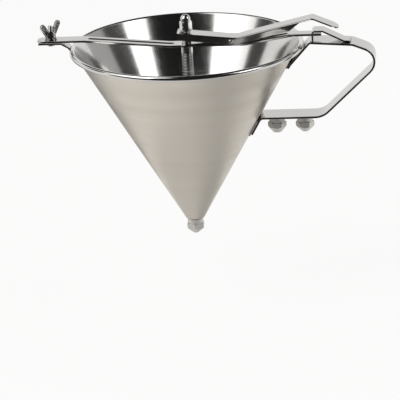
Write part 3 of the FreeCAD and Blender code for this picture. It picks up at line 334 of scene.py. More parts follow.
# %% [markdown]
# Two square lamps shade the form: a large one from the front left, and a smaller, weaker one from the
# right that opens the shadow side. Area lamps are used because their size makes the highlights broad
# and the shadow soft. Spot lamps would give hard edges, which a studio avoids on steel.

# %% Soft lamps
LAMPS_AIM = Vector((0.02, 0, 0.1))


def soft_lamp(name, place, size, power):
    """A square lamp that points at the middle of the funnel."""
    light = bpy.data.lights.new(name, "AREA")
    light.size = size
    light.energy = power
    lamp = bpy.data.objects.new(name, light)
    lamp.location = Vector(place)
    lamp.rotation_euler = (LAMPS_AIM - lamp.location).to_track_quat("-Z", "Y").to_euler()
    scene.collection.objects.link(lamp)
    return lamp


key_lamp = soft_lamp("key_lamp", (-1.24, -1.02, 1.7), 1.5, 11.5)
fill_lamp = soft_lamp("fill_lamp", (1.53, -0.5, 1.2), 0.9, 4.6)
print("lamps in watts: key %.1f, fill %.1f" % (key_lamp.data.energy, fill_lamp.data.energy))

# %% [markdown]
# ## Finishes
# All the pieces are stainless steel, so what sets them apart is how each was worked. Spinning and
# turning leave fine rings, rolling and drawing leave grain along a strip, and use leaves smudges and
# a few hairline marks. Each effect is one node group, built once and placed in every finish that
# needs it. A group gives out plain values, and the finish decides what they change.
# Rings are noise that changes only with height, so it is the same all the way round. A Wave texture
# also makes rings, but they come out too even for real tool marks.

# %% Node group for rings
BROAD_RINGS = 0.06


def new_group(name, inputs, outputs):
    """A node group with named values going in and coming out, and its two end nodes."""
    group = bpy.data.node_groups.new(name, "ShaderNodeTree")
    for label, value in inputs:
        socket = group.interface.new_socket(label, in_out="INPUT", socket_type="NodeSocketFloat")
        socket.default_value = value
    for label in outputs:
        group.interface.new_socket(label, in_out="OUTPUT", socket_type="NodeSocketFloat")
    return group, group.nodes.new("NodeGroupInput"), group.nodes.new("NodeGroupOutput")


def spun_rings():
    """Rings round the Z axis: noise that changes only with height."""
    group, given, out = new_group("spun_rings", [("Rings per metre", 1500.0)], ["Fine", "Broad"])
    nodes, links = group.nodes, group.links
    place = nodes.new("ShaderNodeTexCoord")
    parts = nodes.new("ShaderNodeSeparateXYZ")
    links.new(place.outputs["Object"], parts.inputs[0])
    for label, share in (("Fine", 1.0), ("Broad", BROAD_RINGS)):
        rate = nodes.new("ShaderNodeMath")
        rate.operation = "MULTIPLY"
        rate.inputs[1].default_value = share
        links.new(given.outputs[0], rate.inputs[0])
        along = nodes.new("ShaderNodeMath")
        along.operation = "MULTIPLY"
        links.new(parts.outputs["Z"], along.inputs[0])
        links.new(rate.outputs[0], along.inputs[1])
        rings = nodes.new("ShaderNodeTexNoise")
        rings.noise_dimensions = "1D"
        rings.inputs["Scale"].default_value = 1.0
        rings.inputs["Detail"].default_value = 4.0
        links.new(along.outputs[0], rings.inputs["W"])
        links.new(rings.outputs[0], out.inputs[label])
    return group


RINGS = spun_rings()
print("node group:", RINGS.name)

# %% [markdown]
# Strip is rolled and drawn, which leaves long thin lines. The group stretches the object's own
# coordinates before the noise: many lines across the strip, few changes along it. Coordinates of an
# unwrapped mesh would follow the bends better, but the lines are so fine that it does not show.

# %% Node group for grain
BROAD_GRAIN = 0.12


def drawn_grain():
    """Grain along a strip: noise that is stretched along X and Z."""
    inputs = [("Lines per metre", 1800.0), ("Along", 14.0)]
    group, given, out = new_group("drawn_grain", inputs, ["Fine", "Broad"])
    nodes, links = group.nodes, group.links
    place = nodes.new("ShaderNodeTexCoord")
    stretch = nodes.new("ShaderNodeCombineXYZ")
    for axis, source in (("X", "Along"), ("Y", "Lines per metre"), ("Z", "Along")):
        links.new(given.outputs[source], stretch.inputs[axis])
    spread = nodes.new("ShaderNodeVectorMath")
    spread.operation = "MULTIPLY"
    links.new(place.outputs["Object"], spread.inputs[0])
    links.new(stretch.outputs[0], spread.inputs[1])
    for label, scale in (("Fine", 1.0), ("Broad", BROAD_GRAIN)):
        lines = nodes.new("ShaderNodeTexNoise")
        lines.inputs["Scale"].default_value = scale
        lines.inputs["Detail"].default_value = 3.0
        links.new(spread.outputs[0], lines.inputs["Vector"])
        links.new(lines.outputs[0], out.inputs[label])
    return group


GRAIN = drawn_grain()
print("node group:", GRAIN.name)

# %% [markdown]
# Steel that is used and wiped has dull smudges and a few hairline marks. The smudges are soft cloud
# noise, cut off so that most of the surface stays clean. The hairlines are noise that is drawn out
# along one slanting direction, and only its highest crests count. Both are given out as masks. A painted
# picture could hold such marks as well, but it needs an unwrapped mesh, and noise does not.

# %% Node group for handling
HAIRLINE_TILT = (0.5, 0.9, 0.7)
HAIRLINE_SCALE = (45.0, 1400.0, 260.0)


def handling_marks():
    """Soft smudges from use, and a few hairline marks."""
    inputs = [("Smudges per metre", 26.0)]
    group, given, out = new_group("handling_marks", inputs, ["Smudge", "Hairline"])
    nodes, links = group.nodes, group.links
    place = nodes.new("ShaderNodeTexCoord")
    cloud = nodes.new("ShaderNodeTexNoise")
    cloud.inputs["Detail"].default_value = 5.0
    cloud.inputs["Distortion"].default_value = 0.6
    links.new(place.outputs["Object"], cloud.inputs["Vector"])
    links.new(given.outputs[0], cloud.inputs["Scale"])
    smudge = nodes.new("ShaderNodeMapRange")
    smudge.interpolation_type = "SMOOTHSTEP"
    smudge.inputs["From Min"].default_value = 0.42
    smudge.inputs["From Max"].default_value = 0.68
    links.new(cloud.outputs[0], smudge.inputs["Value"])
    links.new(smudge.outputs[0], out.inputs["Smudge"])
    lay = nodes.new("ShaderNodeMapping")
    lay.inputs["Rotation"].default_value = HAIRLINE_TILT
    lay.inputs["Scale"].default_value = HAIRLINE_SCALE
    links.new(place.outputs["Object"], lay.inputs["Vector"])
    hairs = nodes.new("ShaderNodeTexNoise")
    hairs.inputs["Scale"].default_value = 1.0
    hairs.inputs["Detail"].default_value = 1.0
    links.new(lay.outputs[0], hairs.inputs["Vector"])
    few = nodes.new("ShaderNodeMapRange")
    few.inputs["From Min"].default_value = 0.70
    few.inputs["From Max"].default_value = 0.76
    links.new(hairs.outputs[0], few.inputs["Value"])
    links.new(few.outputs[0], out.inputs["Hairline"])
    return group


MARKS = handling_marks()
print("node group:", MARKS.name)

# %% [markdown]
# Each finish starts from one height that changes over the surface: the fine and the broad working
# lines, mixed. Cast and welded steel has no lines, and a fine grit takes their place there. With
# one height for tone, roughness and bump, the three always agree, as they do on real metal.

# %% Height of a finish
LINES_MIX = 0.5


def working_lines(nodes, links, lines, rate):
    """Height of the fine and broad working lines, mixed."""
    worked = nodes.new("ShaderNodeGroup")
    worked.node_tree = lines
    worked.inputs[0].default_value = rate
    both = nodes.new("ShaderNodeMix")
    both.inputs["Factor"].default_value = LINES_MIX
    links.new(worked.outputs["Fine"], both.inputs["A"])
    links.new(worked.outputs["Broad"], both.inputs["B"])
    return both.outputs[0]


def fine_grit(nodes, links, speckle):
    """Height of a grit with so many grains per metre."""
    grit = nodes.new("ShaderNodeTexNoise")
    grit.inputs["Scale"].default_value = speckle
    grit.inputs["Detail"].default_value = 2.0
    place = nodes.new("ShaderNodeTexCoord")
    links.new(place.outputs["Object"], grit.inputs["Vector"])
    return grit.outputs[0]


print("heights:", working_lines.__name__, fine_grit.__name__)

# %% [markdown]
# The height shades the colour a little and roughens the surface a little. Smudges make a polished face
# duller where it is touched, and hairlines more so. They are added to the roughness and not to the
# colour, because on clean steel such marks only show by how they blur a reflection.

# %% Tone and roughness
HAIRLINE_DULL = 0.08


def two_tones(nodes, links, tones, height):
    """Colour that goes from one tone to the other with the height."""
    tone = nodes.new("ShaderNodeMix")
    tone.data_type = "RGBA"
    colours = [socket for socket in tone.inputs if socket.type == "RGBA"]
    colours[0].default_value = (*tones[0], 1)
    colours[1].default_value = (*tones[1], 1)
    links.new(height, tone.inputs["Factor"])
    return [socket for socket in tone.outputs if socket.type == "RGBA"][0]


def dulled(nodes, links, rough, smudged, height):
    """Roughness from the height, with smudges and hairlines on top."""
    marks = nodes.new("ShaderNodeGroup")
    marks.node_tree = MARKS
    dull = nodes.new("ShaderNodeMapRange")
    dull.inputs["From Min"].default_value = 0.3
    dull.inputs["From Max"].default_value = 0.7
    dull.inputs["To Min"].default_value = rough[0]
    dull.inputs["To Max"].default_value = rough[1]
    links.new(height, dull.inputs["Value"])
    total = dull.outputs[0]
    for mark, strength in (("Smudge", smudged), ("Hairline", HAIRLINE_DULL)):
        added = nodes.new("ShaderNodeMath")
        added.operation = "MULTIPLY_ADD"
        added.inputs[1].default_value = strength
        links.new(marks.outputs[mark], added.inputs[0])
        links.new(total, added.inputs[2])
        total = added.outputs[0]
    return total


print("hairlines add %.2f to the roughness" % HAIRLINE_DULL)

# %% [markdown]
# A finish is one metal shader that is fed by these parts, with a fine bump that lets the lines catch
# the light. Numbers that are the same all over, such as the pull of a brushed highlight, sit on the
# shader's own sockets, where the export can read them.

# %% Steel shader
RELIEF_DEPTH = 0.05 * MM


def steel(name, tones, rough, lines=None, rate=0.0, brushed=0.0, bump=0.04, smudged=0.05,
          speckle=None):
    """One steel finish, with working lines or, where a speckle is given, a grit."""
    finish = bpy.data.materials.new(name)
    finish.use_nodes = True
    nodes, links = finish.node_tree.nodes, finish.node_tree.links
    shader = nodes["Principled BSDF"]
    shader.inputs["Metallic"].default_value = 1.0
    shader.inputs["Anisotropic"].default_value = brushed
    height = fine_grit(nodes, links, speckle) if speckle else working_lines(nodes, links, lines, rate)
    links.new(two_tones(nodes, links, tones, height), shader.inputs["Base Color"])
    links.new(dulled(nodes, links, rough, smudged, height), shader.inputs["Roughness"])
    relief = nodes.new("ShaderNodeBump")
    relief.inputs["Strength"].default_value = bump
    relief.inputs["Distance"].default_value = RELIEF_DEPTH
    links.new(height, relief.inputs["Height"])
    links.new(relief.outputs[0], shader.inputs["Normal"])
    return finish


print("bump depth: %.2f mm" % (RELIEF_DEPTH / MM))

# %% [markdown]
# The finishes differ only in their values: two tones, a range of roughness, how close the lines lie,
# how far a brushed highlight is pulled, and how strong the bump is. The cone is satin outside and
# bright inside, nuts are the brightest, and the slots' punched edges are rough steel whose near-black
# tone is painted shade for the inside of the narrow slots. One table is easier to compare and tune
# than ten materials made one by one.

# %% Table of finishes
FINISH_VALUES = {
    "satin_cone": dict(tones=((0.65, 0.605, 0.535), (0.575, 0.53, 0.465)), rough=(0.27, 0.38),
                       lines=RINGS, rate=1600.0, brushed=0.55, bump=0.06, smudged=0.06),
    "bright_cone": dict(tones=((0.66, 0.65, 0.63), (0.60, 0.59, 0.575)), rough=(0.11, 0.17),
                        lines=RINGS, rate=1100.0, bump=0.008, smudged=0.015),
    "strip": dict(tones=((0.53, 0.52, 0.505), (0.45, 0.44, 0.425)), rough=(0.06, 0.12),
                  lines=GRAIN, rate=1800.0, brushed=0.2, bump=0.02, smudged=0.03),
    "turned": dict(tones=((0.70, 0.695, 0.685), (0.60, 0.595, 0.585)), rough=(0.07, 0.16),
                   lines=RINGS, rate=3200.0, brushed=0.25, bump=0.03, smudged=0.04),
    "nut": dict(tones=((0.74, 0.74, 0.735), (0.66, 0.66, 0.655)), rough=(0.04, 0.10),
                lines=RINGS, rate=2600.0, bump=0.015, smudged=0.03),
    "nozzle": dict(tones=((0.72, 0.70, 0.66), (0.64, 0.62, 0.58)), rough=(0.46, 0.56),
                   lines=RINGS, rate=3600.0, brushed=0.3, bump=0.04),
    "cast": dict(tones=((0.54, 0.53, 0.51), (0.44, 0.43, 0.41)), rough=(0.08, 0.20),
                 bump=0.10, smudged=0.04, speckle=900.0),
    "wire": dict(tones=((0.56, 0.56, 0.565), (0.46, 0.46, 0.465)), rough=(0.14, 0.26),
                 lines=RINGS, rate=2600.0, bump=0.03),
    # Raw slot edges: rough steel, with a near-black tone that is painted shade inside the slots.
    "punched_edge_painted_shade": dict(tones=((0.20, 0.195, 0.185), (0.13, 0.125, 0.12)), rough=(0.35, 0.55),
                    lines=GRAIN, rate=2600.0, bump=0.08),
    "weld": dict(tones=((0.50, 0.475, 0.44), (0.36, 0.335, 0.32)), rough=(0.28, 0.45),
                 bump=0.12, speckle=1500.0),
}
FINISHES = {name: steel(name, **values) for name, values in FINISH_VALUES.items()}
print("finishes:", ", ".join(FINISHES))

# %% [markdown]
# ## Lines, arcs and turned pieces
# Nearly every piece starts as a line on paper: the edge of a bent strip, or half the section of a
# turned part. Real edges are never quite sharp, so the helper below swaps each corner for a small
# arc. A bevel modifier could do that later, but arcs in the line give even faces from the start.

# %% Rounded corners
STRAIGHT = 0.02


def rounded_line(points, radii, steps=8, share=0.9):
    """Swap each inner corner of an open line for an arc."""
    points = [Vector(point) for point in points]
    line = [points[0]]
    for before, corner, after, radius in zip(points, points[1:], points[2:], radii):
        back, ahead = before - corner, after - corner
        half = back.angle(ahead) / 2
        if math.pi - 2 * half < STRAIGHT:
            line.append(corner)
            continue
        reach = min(radius / math.tan(half), share * min(back.length, ahead.length))
        radius = reach * math.tan(half)
        inwards = (back.normalized() + ahead.normalized()).normalized()
        centre = corner + inwards * (radius / math.sin(half))
        start = corner + back.normalized() * reach - centre
        way = 1 if back.y * ahead.x > back.x * ahead.y else -1
        for step in range(steps + 1):
            angle = way * (math.pi - 2 * half) * step / steps
            line.append(centre + Vector((start.x * math.cos(angle) - start.y * math.sin(angle),
                                         start.x * math.sin(angle) + start.y * math.cos(angle))))
    line.append(points[-1])
    return line


def soft_outline(points, radius, closed=True):
    """Round every corner of an outline by the same small radius."""
    if closed:
        points = [points[-1]] + list(points) + [points[0]]
    line = rounded_line(points, [radius] * (len(points) - 2), steps=3, share=0.45)
    return line[1:-1] if closed else line


square = soft_outline([(0, 0), (1, 0), (1, 1), (0, 1)], 0.1)
print("a square with soft corners has", len(square), "points")

# %% [markdown]
# A lathe makes round parts by turning a profile about its axis, and code can do the same: one ring
# of points for each point of the profile. The Screw modifier would also work, but here each ring
# can be reshaped as it is made. That turns a round bar into a hexagon or cuts a thread into it.

# %% The lathe
ON_AXIS = 1e-6


def lathe(outline, sides=64, shape=None, zones=None):
    """Turn an outline of (radius, height) about the Z axis. shape(radius, height, angle) reworks it."""
    bm = bmesh.new()
    rings = []
    for radius, height in outline:
        if radius < ON_AXIS:
            rings.append([bm.verts.new((0, 0, height * MM))])
            continue
        ring = []
        for side in range(sides):
            angle = 2 * math.pi * side / sides
            reach = (shape(radius, height, angle) if shape else radius) * MM
            ring.append(bm.verts.new((reach * math.cos(angle), reach * math.sin(angle), height * MM)))
        rings.append(ring)
    for index, (ring, other) in enumerate(zip(rings, rings[1:] + rings[:1])):
        if len(ring) == 1 and len(other) == 1:
            continue
        for side in range(sides):
            after = (side + 1) % sides
            corners = [ring[side % len(ring)], ring[after % len(ring)],
                       other[after % len(other)], other[side % len(other)]]
            face = bm.faces.new(list(dict.fromkeys(corners)))
            face.material_index = zones(index) if zones else 0
    bmesh.ops.recalc_face_normals(bm, faces=bm.faces)
    return bm


trial = lathe([(1, 0), (2, 0), (2, 1), (1, 1)], sides=16)
print("a small trial ring has", len(trial.faces), "faces")
trial.free()

# %% [markdown]
# A hexagon is a round bar with its sides cut flat, so its shape only holds the radius back at the
# flats. A thread is a ripple that climbs as it goes round. Both could be cut with the Boolean modifier,
# but a shape that the lathe asks at each point is quick and leaves even faces.

# %% Shapes for the lathe
def hexagon(flats):
    """Shape for the lathe: a round bar cut to a hexagon."""
    def shape(radius, height, angle):
        away = angle % (math.pi / 3) - math.pi / 6
        return min(radius, flats / 2 / math.cos(away))
    return shape


def threaded(radius, depth, pitch, low, high):
    """Shape for the lathe: a thread cut into the part of a bar between two heights."""
    def shape(reach, height, angle):
        if reach < radius - depth or not low < height < high:
            return reach
        phase = (height / pitch - angle / (2 * math.pi)) % 1.0
        return reach - depth * abs(2 * phase - 1)
    return shape


def steps_between(low, high, step):
    """Even stations between two heights, without the two themselves."""
    count = max(1, int(round((high - low) / step)))
    return [low + (high - low) * index / count for index in range(1, count)]


print("lathe shapes:", hexagon.__name__, threaded.__name__)

# %% [markdown]
# Every piece is finished in the same way: its faces are smoothed except at true edges, its finish is
# laid on, and it is set to ride on one body of the measured model. Weighted normals keep the flat
# faces flat beside their soft edges, so that they reflect like real flats.

# %% Finish a piece
TRUE_EDGE = math.radians(38)


def object_from(name, bm, turn=None):
    """A scene object from a mesh in the making. turn is a matrix for its points."""
    if turn:
        bmesh.ops.transform(bm, matrix=turn, verts=bm.verts)
    mesh = bpy.data.meshes.new(name)
    bm.to_mesh(mesh)
    bm.free()
    thing = bpy.data.objects.new(name, mesh)
    scene.collection.objects.link(thing)
    return thing


def finish_piece(thing, body, finishes, nodes=()):
    """Lay finishes on a piece, let it ride on a body and take the place of measured nodes."""
    finishes = [finishes] if isinstance(finishes, str) else finishes
    mesh = thing.data
    for finish in finishes:
        mesh.materials.append(FINISHES[finish])
    mesh.shade_smooth()
    mesh.set_sharp_from_angle(angle=TRUE_EDGE)
    weighted = thing.modifiers.new("flat_faces", "WEIGHTED_NORMAL")
    weighted.keep_sharp = True
    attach(thing, body)
    if nodes:
        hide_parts(*nodes)
    return thing


def at(x=0.0, z=0.0, yaw=0.0):
    """Matrix that sets a turned piece up at x and z, in mm, turned about its own axis."""
    return Matrix.Translation((x * MM, 0, z * MM)) @ Matrix.Rotation(yaw, 4, "Z")


print("true edges are sharper than %.0f degrees" % math.degrees(TRUE_EDGE))

# %% [markdown]
# ## The cone and its rolled rim
# The cone is spun from a flat disc of sheet, and its edge is rolled outwards round a wire. The
# outside stays satin from the spinning, and the inside and the roll are polished. One profile makes
# it all: up the outside, round the inside of the roll, back over the roll, and down the inside. A cone
# and a torus from Blender's menu would be quicker, but the sheet would not run on into the roll.

# %% Spun cone
BEAD_RING = 105.9
WIRE_SPACE = 1.6
SHEET = 1.0
CONE_LOW = (8.77, 15.3)
CONE_SIDES = 192
WALL_STEPS = 24
ROLL_STEPS = 28
ROLL_EASE = 0.04
CURL_END = math.radians(225 - 360)
cone_rise = RIM_HEIGHT - CONE_LOW[1]
cone_run = BEAD_RING - CONE_LOW[0]
WALL = math.acos(WIRE_SPACE / math.hypot(cone_rise, cone_run)) - math.atan2(cone_rise, cone_run)


def cone_wall(height, depth=0.0):
    """Radius of the cone's outer face at a height, or of a face that lies deeper in the wall."""
    return BEAD_RING - (WIRE_SPACE + depth) / math.cos(WALL) + (height - RIM_HEIGHT) * math.tan(WALL)


def roll(radius):
    """Points round the rolled edge, from the wall over the top to the curl's end."""
    start = math.pi - WALL
    turns = [start + (CURL_END - start) * step / ROLL_STEPS for step in range(ROLL_STEPS + 1)]
    return [(BEAD_RING + radius * math.cos(turn), RIM_HEIGHT + radius * math.sin(turn)) for turn in turns]


wall_heights = [CONE_LOW[1]] + steps_between(CONE_LOW[1], RIM_HEIGHT, cone_rise / WALL_STEPS)
outside = [(cone_wall(height), height) for height in wall_heights]
inside = [(cone_wall(height, SHEET), height) for height in wall_heights]
cone_outline = outside + roll(WIRE_SPACE) + roll(WIRE_SPACE + SHEET - ROLL_EASE)[::-1] + inside[::-1]
spun_cone = object_from("spun_cone", lathe(cone_outline, sides=CONE_SIDES,
                                           zones=lambda index: 0 if index < len(outside) else 1))
finish_piece(spun_cone, "frame", ["satin_cone", "bright_cone"], ["funnel_cone"])
rim_width = 2 * (BEAD_RING + WIRE_SPACE + SHEET)
print("cone wall leans %.1f degrees, rim %.1f mm across" % (math.degrees(WALL), rim_width))

# %% [markdown]
# ## Outlet and nozzles
# The outlet is a turned ring in the cone's small end. Inside it has a sloped seat for the stopper, and
# below it a spigot that the nozzle goes on. The nozzle hides the spigot's thread, so that is left
# smooth. Cylinders joined and cut by Booleans would do as well, but one outline turned on the lathe
# keeps every edge soft.

# %% Outlet ring
OUTLET_BORE = 4.0
OUTLET_FOOT = 8.5
SPIGOT = 5.6
SPIGOT_TOP = 14.8
FLANGE_EDGE = 7.4
SEAT_LOW = 18.0
SEAT_TOP = 24.0
FIT = 0.05
seat_edge = OUTLET_BORE + (SEAT_TOP - SEAT_LOW)
outlet = object_from("outlet_ring", lathe(soft_outline([
    (OUTLET_BORE, OUTLET_FOOT), (SPIGOT, OUTLET_FOOT), (SPIGOT, SPIGOT_TOP), (FLANGE_EDGE, SPIGOT_TOP),
    (FLANGE_EDGE, CONE_LOW[1]), (cone_wall(CONE_LOW[1], SHEET + FIT), CONE_LOW[1]),
    (cone_wall(SEAT_TOP, SHEET + FIT), SEAT_TOP), (seat_edge, SEAT_TOP), (OUTLET_BORE, SEAT_LOW)], 0.2)))
finish_piece(outlet, "frame", "turned", ["outlet_socket"])
print("outlet bore %.1f mm, seat %.1f mm across" % (2 * OUTLET_BORE, 2 * seat_edge))

# %% [markdown]
# A nozzle is turned from hexagon bar: the lathe leaves the flats in the middle, a round collar above
# them and a taper below. The taper runs out past the hexagon's corners, which gives the curved edges
# between flats and taper that a real turned hexagon has. A Boolean of a cone and a prism would give the
# same edges, but with long thin faces.

# %% Nozzle
NOZZLE_FLATS = 15.0
TIP_WALL = 0.8
TAPER_HEIGHT = 4.4
TAPER_STEP = 0.25
CORNER_SPARE = 0.2
HEX_TOP = (9.0, 9.6)
HEX_CHAMFER = 0.5
NOZZLE_SIDES = 96
FITTED_BORE = 1.5
NOZZLE_COLLAR = [(7.3, 9.6), (7.3, 14.2), (7.0, 14.5)]
NOZZLE_INSIDE = [(5.66, 14.5), (5.66, 7.7)]
BORE_LENGTH = 3.0


def nozzle_mesh(bore):
    """A nozzle with the given bore, as a radius."""
    tip = bore + TIP_WALL
    taper = (NOZZLE_FLATS / 2 - tip) / TAPER_HEIGHT
    widest = NOZZLE_FLATS / math.sqrt(3) + CORNER_SPARE
    taper_top = (widest - tip) / taper
    outline = [(bore, 0), (tip, 0)]
    outline += [(tip + taper * height, height) for height in steps_between(0, taper_top, TAPER_STEP)]
    outline += [(widest, taper_top), (widest, HEX_TOP[0]), (widest - HEX_CHAMFER, HEX_TOP[1])]
    outline += NOZZLE_COLLAR + NOZZLE_INSIDE + [(bore, BORE_LENGTH)]
    return lathe(soft_outline(outline, 0.15), sides=NOZZLE_SIDES, shape=hexagon(NOZZLE_FLATS))


fitted = object_from("fitted_tip", nozzle_mesh(FITTED_BORE), at(yaw=math.pi / 2))
finish_piece(fitted, "fitted_nozzle", "nozzle", ["nozzle"])
print("nozzle: %.0f mm across the flats" % NOZZLE_FLATS)

# %% [markdown]
# Two spare nozzles hang from threaded studs under the handle's lower arm. They are the same nozzle with
# other bores. Each stud has a flange against the arm and a thread that the lathe's shape ripples in;
# the outline has a point every fifth of a millimetre there, so that the ripple has room.

# %% Spare nozzles and their studs
SPARE_STUDS = 111.4
SPARES = (("large", "inner", 80.5, 3.2), ("medium", "outer", 106.4, 2.0))
SPARE_END = [(0, -6.3), (5.3, -6.3)]
SPARE_THREAD = -6.0
SPARE_FLANGE = 0.55
SPARE_DEPTH = 0.45
SPARE_PITCH = 1.25
spare_thread = threaded(SPIGOT, SPARE_DEPTH, SPARE_PITCH, SPARE_THREAD, -0.2)


def stud_mesh():
    """A threaded stud that hangs from its flange."""
    screw = SPARE_END + [(SPIGOT, SPARE_THREAD)]
    screw += [(SPIGOT, z) for z in steps_between(SPARE_THREAD, 0, 0.2)]
    screw += [(SPIGOT, 0), (FLANGE_EDGE, 0), (FLANGE_EDGE, SPARE_FLANGE), (0, SPARE_FLANGE)]
    return lathe(screw, shape=spare_thread)


for size, spot, x, bore in SPARES:
    spare = object_from("hanging_tip_" + size, nozzle_mesh(bore), at(x, SPARE_STUDS - SPIGOT_TOP))
    finish_piece(spare, size + "_nozzle", "nozzle", ["spare_nozzle_" + size])
    stud = object_from("tip_stud_" + spot, stud_mesh(), at(x, SPARE_STUDS))
    finish_piece(stud, "frame", "turned", ["spare_stud_" + spot])
print("nozzle bores in mm: %.1f fitted, %.1f and %.1f spare"
      % (2 * FITTED_BORE, 2 * SPARES[0][3], 2 * SPARES[1][3]))

# %% [markdown]
# ## Bent strips
# The handle, the keeper, the rim lug and the crossbar are flat strip, bent cold. A bent strip is its
# line seen from the side, with an arc at each bend, given a width. Its section has soft corners, as
# rolled strip has, and its ends are eased. The line is one face of the strip, so each bend's radius
# depends on whether that face is on the inside or the outside of the bend.

# %% Strip section and line
STOP_GAP = 0.05


def quarter_turn(steps):
    """Angles from zero to a right angle, in even steps."""
    return [math.pi / 2 * step / steps for step in range(steps + 1)]


def strip_section(thick, edge, steps=3):
    """Round a strip's section: (depth, side, inset from that side)."""
    turns = quarter_turn(steps)
    half = [(edge - edge * math.cos(turn), edge - edge * math.sin(turn)) for turn in turns]
    half += [(thick - edge + edge * math.sin(turn), edge - edge * math.cos(turn)) for turn in turns]
    near = [(depth, 1, inset) for depth, inset in half]
    return near + [(depth, -1, inset) for depth, inset in half[::-1]]


def line_radii(corners, bends, thick, side):
    """Radius at each corner of the line, for bends that are given on their inside."""
    radii = []
    for before, corner, after, bend in zip(corners, corners[1:], corners[2:], bends):
        turns_left = ((corner[0] - before[0]) * (after[1] - corner[1])
                      > (corner[1] - before[1]) * (after[0] - corner[0]))
        radii.append(bend + thick if turns_left == (side > 0) else bend)
    return radii


def with_stops(line, stops):
    """Add points where a line that runs along X passes the given places."""
    full = [line[0]]
    for first, last in zip(line, line[1:]):
        inner = [x for x in sorted(stops) if first.x + STOP_GAP < x < last.x - STOP_GAP]
        full += [first.lerp(last, (x - first.x) / (last.x - first.x)) for x in inner]
        full.append(last)
    return full


print("strip section:", len(strip_section(2.0, 0.35)), "points")

# %% [markdown]
# A section is then set up at every point of the line, square to it, and the sections are skinned with
# faces. At a bend the section leans half way between the two directions and is stretched a little,
# so the strip keeps its thickness. At both ends a smaller section gives the eased edge.

# %% Strip helper
def skin(bm, rings):
    """Join a row of rings into a tube with closed ends."""
    for ring, other in zip(rings, rings[1:]):
        for step in range(len(ring)):
            after = (step + 1) % len(ring)
            bm.faces.new((ring[step], ring[after], other[after], other[step]))
    bm.faces.new(rings[0])
    bm.faces.new(rings[-1])
    bmesh.ops.recalc_face_normals(bm, faces=bm.faces)


def strip(corners, bends, thick, half, side=-1, stops=(), edge=0.35):
    """A bent strip. half gives half its width at a place along X."""
    line = rounded_line(corners, line_radii(corners, bends, thick, side))
    line = with_stops(line, stops)
    ends = line[0], line[-1]
    line = [point for point in line if min((point - end).length for end in ends) > 1.5 * edge]
    line = [ends[0], ends[0].lerp(line[0], edge / (line[0] - ends[0]).length)] + line
    line += [ends[1].lerp(line[-1], edge / (line[-1] - ends[1]).length), ends[1]]
    bm = bmesh.new()
    rings = []
    for index, point in enumerate(line):
        back = (point - line[max(index - 1, 0)]).normalized()
        ahead = (line[min(index + 1, len(line) - 1)] - point).normalized()
        along = (back + ahead).normalized()
        square = Vector((-along.y, along.x)) * side
        spread = 1 / max(0.5, along.dot(ahead if ahead.length else back))
        ease = edge if index in (0, len(line) - 1) else 0.0
        ring = []
        for depth, flank, inset in strip_section(thick, edge):
            deep = (ease + depth * (thick - 2 * ease) / thick) * spread
            across = flank * (half(point.x) - (ease + inset / 2 if ease else inset))
            ring.append(bm.verts.new(((point.x + square.x * deep) * MM, across * MM,
                                      (point.y + square.y * deep) * MM)))
        rings.append(ring)
    skin(bm, rings)
    return bm


print("strip helpers:", skin.__name__, strip.__name__)

# %% [markdown]
# Holes and slots are cut after bending, by blocks that reach through the strip. A block is an outline
# seen from above, drawn out between two heights. Holes could also be left out of the strip's own
# faces, but then each strip would need a mesh of its own kind.

# %% Cutters
def prism(outline, low, high):
    """A closed block from an outline of (x, y), between two heights."""
    bm = bmesh.new()
    rings = [[bm.verts.new((x * MM, y * MM, z * MM)) for x, y in outline] for z in (low, high)]
    skin(bm, rings)
    return object_from("punch", bm)


def round_hole(x, radius, sides=48):
    """Outline of a round hole on the X axis."""
    turns = [2 * math.pi * side / sides for side in range(sides)]
    return [(x + radius * math.cos(turn), radius * math.sin(turn)) for turn in turns]


def slot_hole(first, last, width, sides=12):
    """Outline of a slot along X with round ends."""
    radius = width / 2
    turns = [math.pi * side / sides - math.pi / 2 for side in range(sides + 1)]
    far = [(last - radius + radius * math.cos(turn), radius * math.sin(turn)) for turn in turns]
    near = [(first + radius - radius * math.cos(turn), -radius * math.sin(turn)) for turn in turns]
    return far + near


print("slot outline:", len(slot_hole(0, 10, 4)), "points")

# %% [markdown]
# The Boolean modifier does the punching. Its exact solver copes with faces that lie in one plane. The
# result is applied at once, points that fell together are merged, and the cutters are removed. That
# leaves plain meshes, which are quick to draw and safe to export.

# %% Punching
SAME_PLACE = 0.0005 * MM


def punch(thing, *cutters):
    """Cut the cutters out of a piece, and apply what modifiers it has."""
    for cutter in cutters:
        cutting = thing.modifiers.new("punch", "BOOLEAN")
        cutting.solver = "EXACT"
        cutting.object = cutter
    bpy.context.view_layer.update()
    shaped = thing.evaluated_get(bpy.context.evaluated_depsgraph_get())
    bm = bmesh.new()
    bm.from_mesh(shaped.to_mesh())
    shaped.to_mesh_clear()
    bmesh.ops.remove_doubles(bm, verts=bm.verts, dist=SAME_PLACE)
    thing.modifiers.clear()
    bm.to_mesh(thing.data)
    bm.free()
    for cutter in cutters:
        bpy.data.objects.remove(cutter)


print("points closer than %.4f mm are merged" % (SAME_PLACE / MM))

# %% [markdown]
# ## The handle and its keeper
# The handle is one strip that leaves the cone under the rim, runs out as an arm, turns down at the
# shoulder, comes back along the grip and returns to the cone on a level lower arm. Both ends are
# bent to lie flat on the cone's wall and are welded there. The strip helper makes it from the line of
# the loop's outer face. A curve with a bevel would be quick too, but its bends are hard to size.

# %% Handle
HANDLE_HALF = 13.0
HANDLE_THICK = 2.0
HANDLE_BENDS = [5, 2, 8, 12, 18, 3]
ARM = (113.6, 4.4)
ARM_FALL = math.tan(math.radians(4))
SHOULDER_X = 153.9
SHOULDER_FALL = math.tan(math.radians(22))
GRIP = (124.0, -69.0)
GRIP_SLOPE = math.tan(math.radians(47))
FOOT_TOP, FOOT_LEAVE, FOOT_LOW = -20.0, -17.0, -84.0
weld_space = FIT / math.cos(WALL)
strip_space = (FIT + HANDLE_THICK) / math.cos(WALL)


